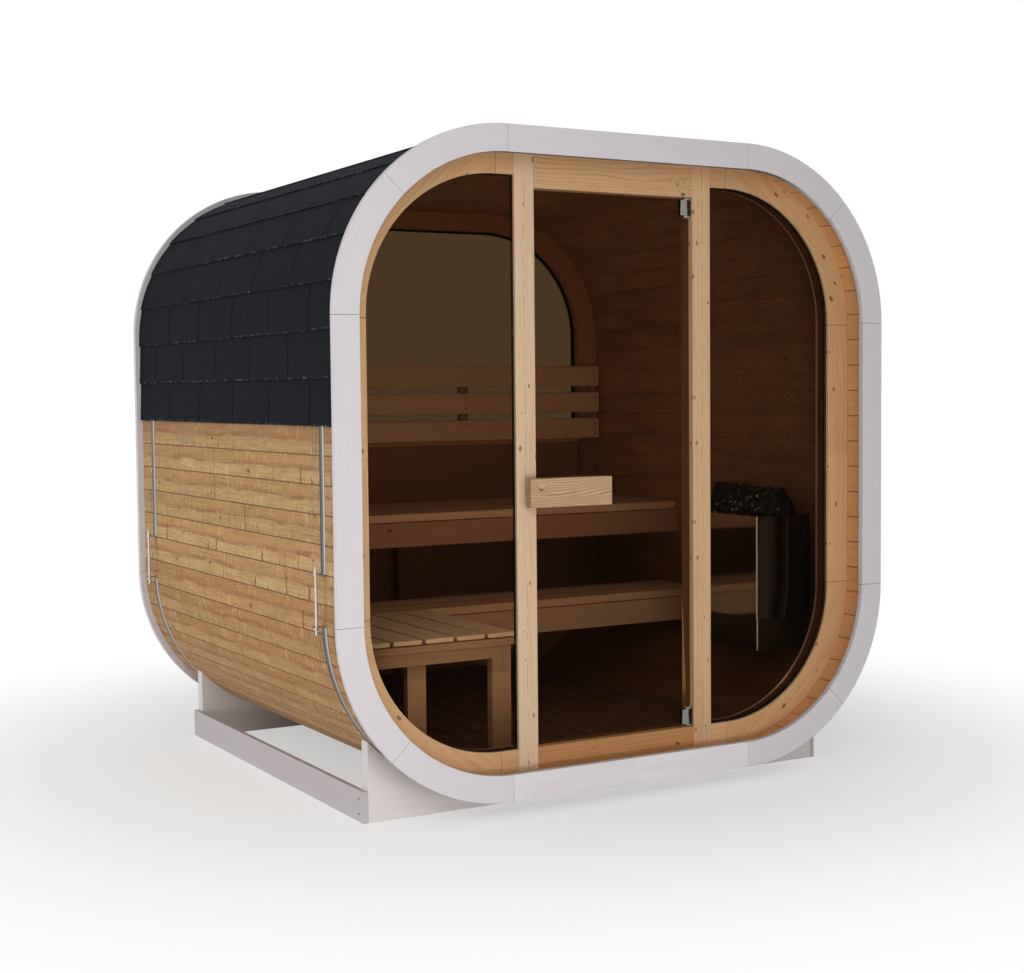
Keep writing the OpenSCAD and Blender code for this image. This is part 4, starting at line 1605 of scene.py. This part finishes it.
@dataclass
class Fittings:
    """Steel bands with their threaded rods, and the screws that show."""

    head_r: float = 0.0042
    sides: int = 12
    cradle_inset: float = 0.032
    cradle_rows: tuple[float, float] = (0.026, 0.074)
    slat_mid: float = 0.044
    slat_row: float = 0.022
    batten_x: tuple[float, float] = (0.307, 0.95)
    strap: Steel = Steel("band_steel", (0.135, 0.120, 0.105), 0.34, (8.0, 240.0, 8.0), 0.15)
    rod: Steel = Steel("threaded_rod", (0.86, 0.86, 0.85), 0.22, thread=0.00125)

    def screws(self, name: str, places: list, facing: Trio, finish: Material) -> None:
        """Adds countersunk heads: a shallow dome with a square socket in the middle.

        Rings of points step inwards from the rim, up to the dome and down into the
        socket.

        Args:
            name: Name of the piece.
            places: Middle of every head on the surface.
            facing: Way that the heads look.
            finish: Their material.
        """
        radius = np.array([1.0, 1.0, 0.72, 0.42, 0.36, 0.0]) * self.head_r
        rise = np.array([-0.0010, 0.0003, 0.0008, 0.0009, -0.0012, -0.0012])
        normal = Vector(facing)
        side = normal.orthogonal().normalized()
        angle = np.linspace(0, 2 * math.pi, self.sides, endpoint=False)[:, None]
        circle = np.cos(angle) * np.array(side) + np.sin(angle) * np.array(normal.cross(side))
        shape = radius[:, None, None] * circle[None] + rise[:, None, None] * np.array(normal)
        points = np.array(places)[:, None, None, :] + shape[None]
        size = len(radius) * self.sides
        faces = repeated(tube_faces(len(radius), self.sides), len(places), size)
        make_piece(name, points, faces, finish, "chromed_fittings", weld=POLE_WELD)

    def build(self, chrome: Material) -> None:
        """Dresses the bands and drives the screws.

        Args:
            chrome: Finish of the screws in the room.
        """
        low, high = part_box("rear_band")
        steel = replace(self.strap, strap_y=(low.y + high.y) / 2).material()
        dress(steel, 0.0, "front_band", "rear_band")
        dress(self.rod.material(), 0.0, "band_tensioners")
        low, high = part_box("side_skids")
        ends = (low.y + self.cradle_inset, high.y - self.cradle_inset)
        for name, x, way in (("left", low.x, -1.0), ("right", high.x, 1.0)):
            heads = [(x, y, z) for y in ends for z in self.cradle_rows]
            self.screws(f"{name}_cradle_screws", heads, (way, 0.0, 0.0), steel)
        low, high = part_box("backrest_slats")
        mids = [high.z - self.slat_mid - SLAT_PITCH * i for i in range(3)]
        rows = [mid + way * self.slat_row for mid in mids for way in (-1, 1)]
        near, far = self.batten_x
        heads = [(x, low.y, z) for x in (-far, -near, near, far) for z in rows]
        self.screws("backrest_screws", heads, (0.0, -1.0, 0.0), chrome)


# ---------------------------------------------------------------- studio


@dataclass(frozen=True)
class Lamp:
    """Soft lamp that is not seen itself. Metal and paint reflect it where it shines."""

    name: str
    spot: Trio
    aim: Trio
    width: float
    height: float
    watts: float
    shines: bool = False

    def hang(self) -> None:
        """Hangs the lamp."""
        data = bpy.data.lights.new(self.name, "AREA")
        data.shape = "RECTANGLE"
        data.size = self.width
        data.size_y = self.height
        data.energy = self.watts
        hung = bpy.data.objects.new(self.name, data)
        hung.visible_camera = False
        hung.visible_glossy = self.shines
        hung.visible_transmission = False
        hung.location = self.spot
        ahead = Vector(self.aim) - Vector(self.spot)
        hung.rotation_euler = ahead.to_track_quat("-Z", "Y").to_euler()
        bpy.context.scene.collection.objects.link(hung)


@dataclass
class Studio:
    """Pale floor, soft lamps and the camera."""

    spot: Trio = (-2.990, -5.408, 1.3285)
    yaw: float = 29.713
    pitch: float = -3.248
    roll: float = -0.541
    lens: float = 58.17
    sensor: float = 36.0
    nearest: float = 0.05
    daylight: float = 0.26
    floor_side: float = 40.0
    lamps: tuple[Lamp, ...] = (
        Lamp("key", (-2.6, -4.4, 2.9), (-0.1, -0.9, 1.0), 2.2, 2.2, 67.0, True),
        Lamp("side", (-5.2, 0.9, 2.6), (-1.0, 0.0, 1.0), 3.0, 3.0, 39.0, True),
        Lamp("low_front", (-0.6, -4.6, 0.35), (0.0, -0.9, 0.35), 4.0, 0.6, 27.0),
        Lamp("low_side", (-4.4, 0.2, 0.35), (-1.0, 0.0, 0.35), 4.0, 0.6, 17.0),
        Lamp("near_front", (-0.7, -3.3, 0.2), (-0.2, -0.97, 0.4), 3.0, 0.3, 12.0),
        Lamp("near_side", (-3.3, 0.2, 0.2), (-1.0, 0.0, 0.4), 3.0, 0.3, 9.0),
        Lamp("room", (0.0, -0.775, 1.05), (0.0, 1.0, 0.95), 1.5, 1.5, 13.0),
    )

    def camera(self) -> None:
        """Sets the camera from its place, heading, dip and roll."""
        yaw, pitch, roll = (math.radians(a) for a in (self.yaw, self.pitch, self.roll))
        level = Vector((math.cos(yaw), -math.sin(yaw), 0.0))
        heading = Vector((math.sin(yaw), math.cos(yaw), 0.0))
        ahead = math.cos(pitch) * heading + Vector((0.0, 0.0, math.sin(pitch)))
        right = math.cos(roll) * level + math.sin(roll) * level.cross(ahead)
        up = right.cross(ahead)
        data = bpy.data.cameras.new("camera")
        data.lens = self.lens
        data.sensor_width = self.sensor
        data.clip_start = self.nearest
        view = bpy.data.objects.new("camera", data)
        turn = Matrix((right, up, -ahead)).transposed().to_4x4()
        view.matrix_world = Matrix.Translation(Vector(self.spot)) @ turn
        bpy.context.scene.collection.objects.link(view)
        bpy.context.scene.camera = view

    def surroundings(self) -> None:
        """White surroundings that light the cabin evenly."""
        recipe = Recipe("studio", world=True)
        dim = recipe.node("Background", None, {"Color": WHITE, "Strength": self.daylight})
        bright = recipe.node("Background", None, {"Color": WHITE})
        shader = recipe.blend(recipe.seen(), dim.outputs[0], bright.outputs[0])
        bpy.context.scene.world = recipe.show(shader)

    def floor(self) -> None:
        """Pale floor that fades into the white surroundings away from the cabin."""
        mesh = bpy.data.meshes.new("floor")
        side = self.floor_side
        corners = [(-side, -side, 0), (side, -side, 0), (side, side, 0), (-side, side, 0)]
        mesh.from_pydata(corners, [], [(0, 1, 2, 3)])
        ground = bpy.data.objects.new("floor", mesh)
        bpy.context.scene.collection.objects.link(ground)
        recipe = Recipe("floor")
        x, y, _ = recipe.axes(recipe.place)
        grain = recipe.noise(recipe.place, (3.0, 3.0, 3.0), 3.0)
        colour = recipe.shaded(tint(246, 246, 246), (grain - 0.5) * 0.02 + 1.0)
        plain = recipe.shader(colour, 0.9, Specular_IOR_Level=0.1)
        far = ((x * x + y * y) ** 0.5).ramp(0.9, 3.0) * 0.5 + 0.5
        glow = recipe.node("Emission", None, {"Color": WHITE}).outputs[0]
        mesh.materials.append(recipe.show(recipe.blend(far * recipe.seen(), plain, glow)))

    def build(self) -> None:
        """Sets up floor, light and camera."""
        self.floor()
        self.surroundings()
        for lamp in self.lamps:
            lamp.hang()
        self.camera()
        bpy.context.scene.view_settings.view_transform = "Standard"


def main() -> None:
    """Builds the cabin part by part."""
    logging.basicConfig(level=logging.INFO, format="%(name)s: %(message)s")
    glass = BronzeGlass().material()
    chrome = Steel("satin_chrome", (0.24, 0.24, 0.21), 0.26).material()
    for assembly, *finishes in (
        (Hull(),),
        (ShingleRoof(),),
        (Walls(), glass),
        (Door(), glass, chrome),
        (Benches(),),
        (Heater(),),
        (Fittings(), chrome),
        (Studio(),),
    ):
        assembly.build(*finishes)
        log.info("%s is done", type(assembly).__name__)


if __name__ == "__main__":
    main()
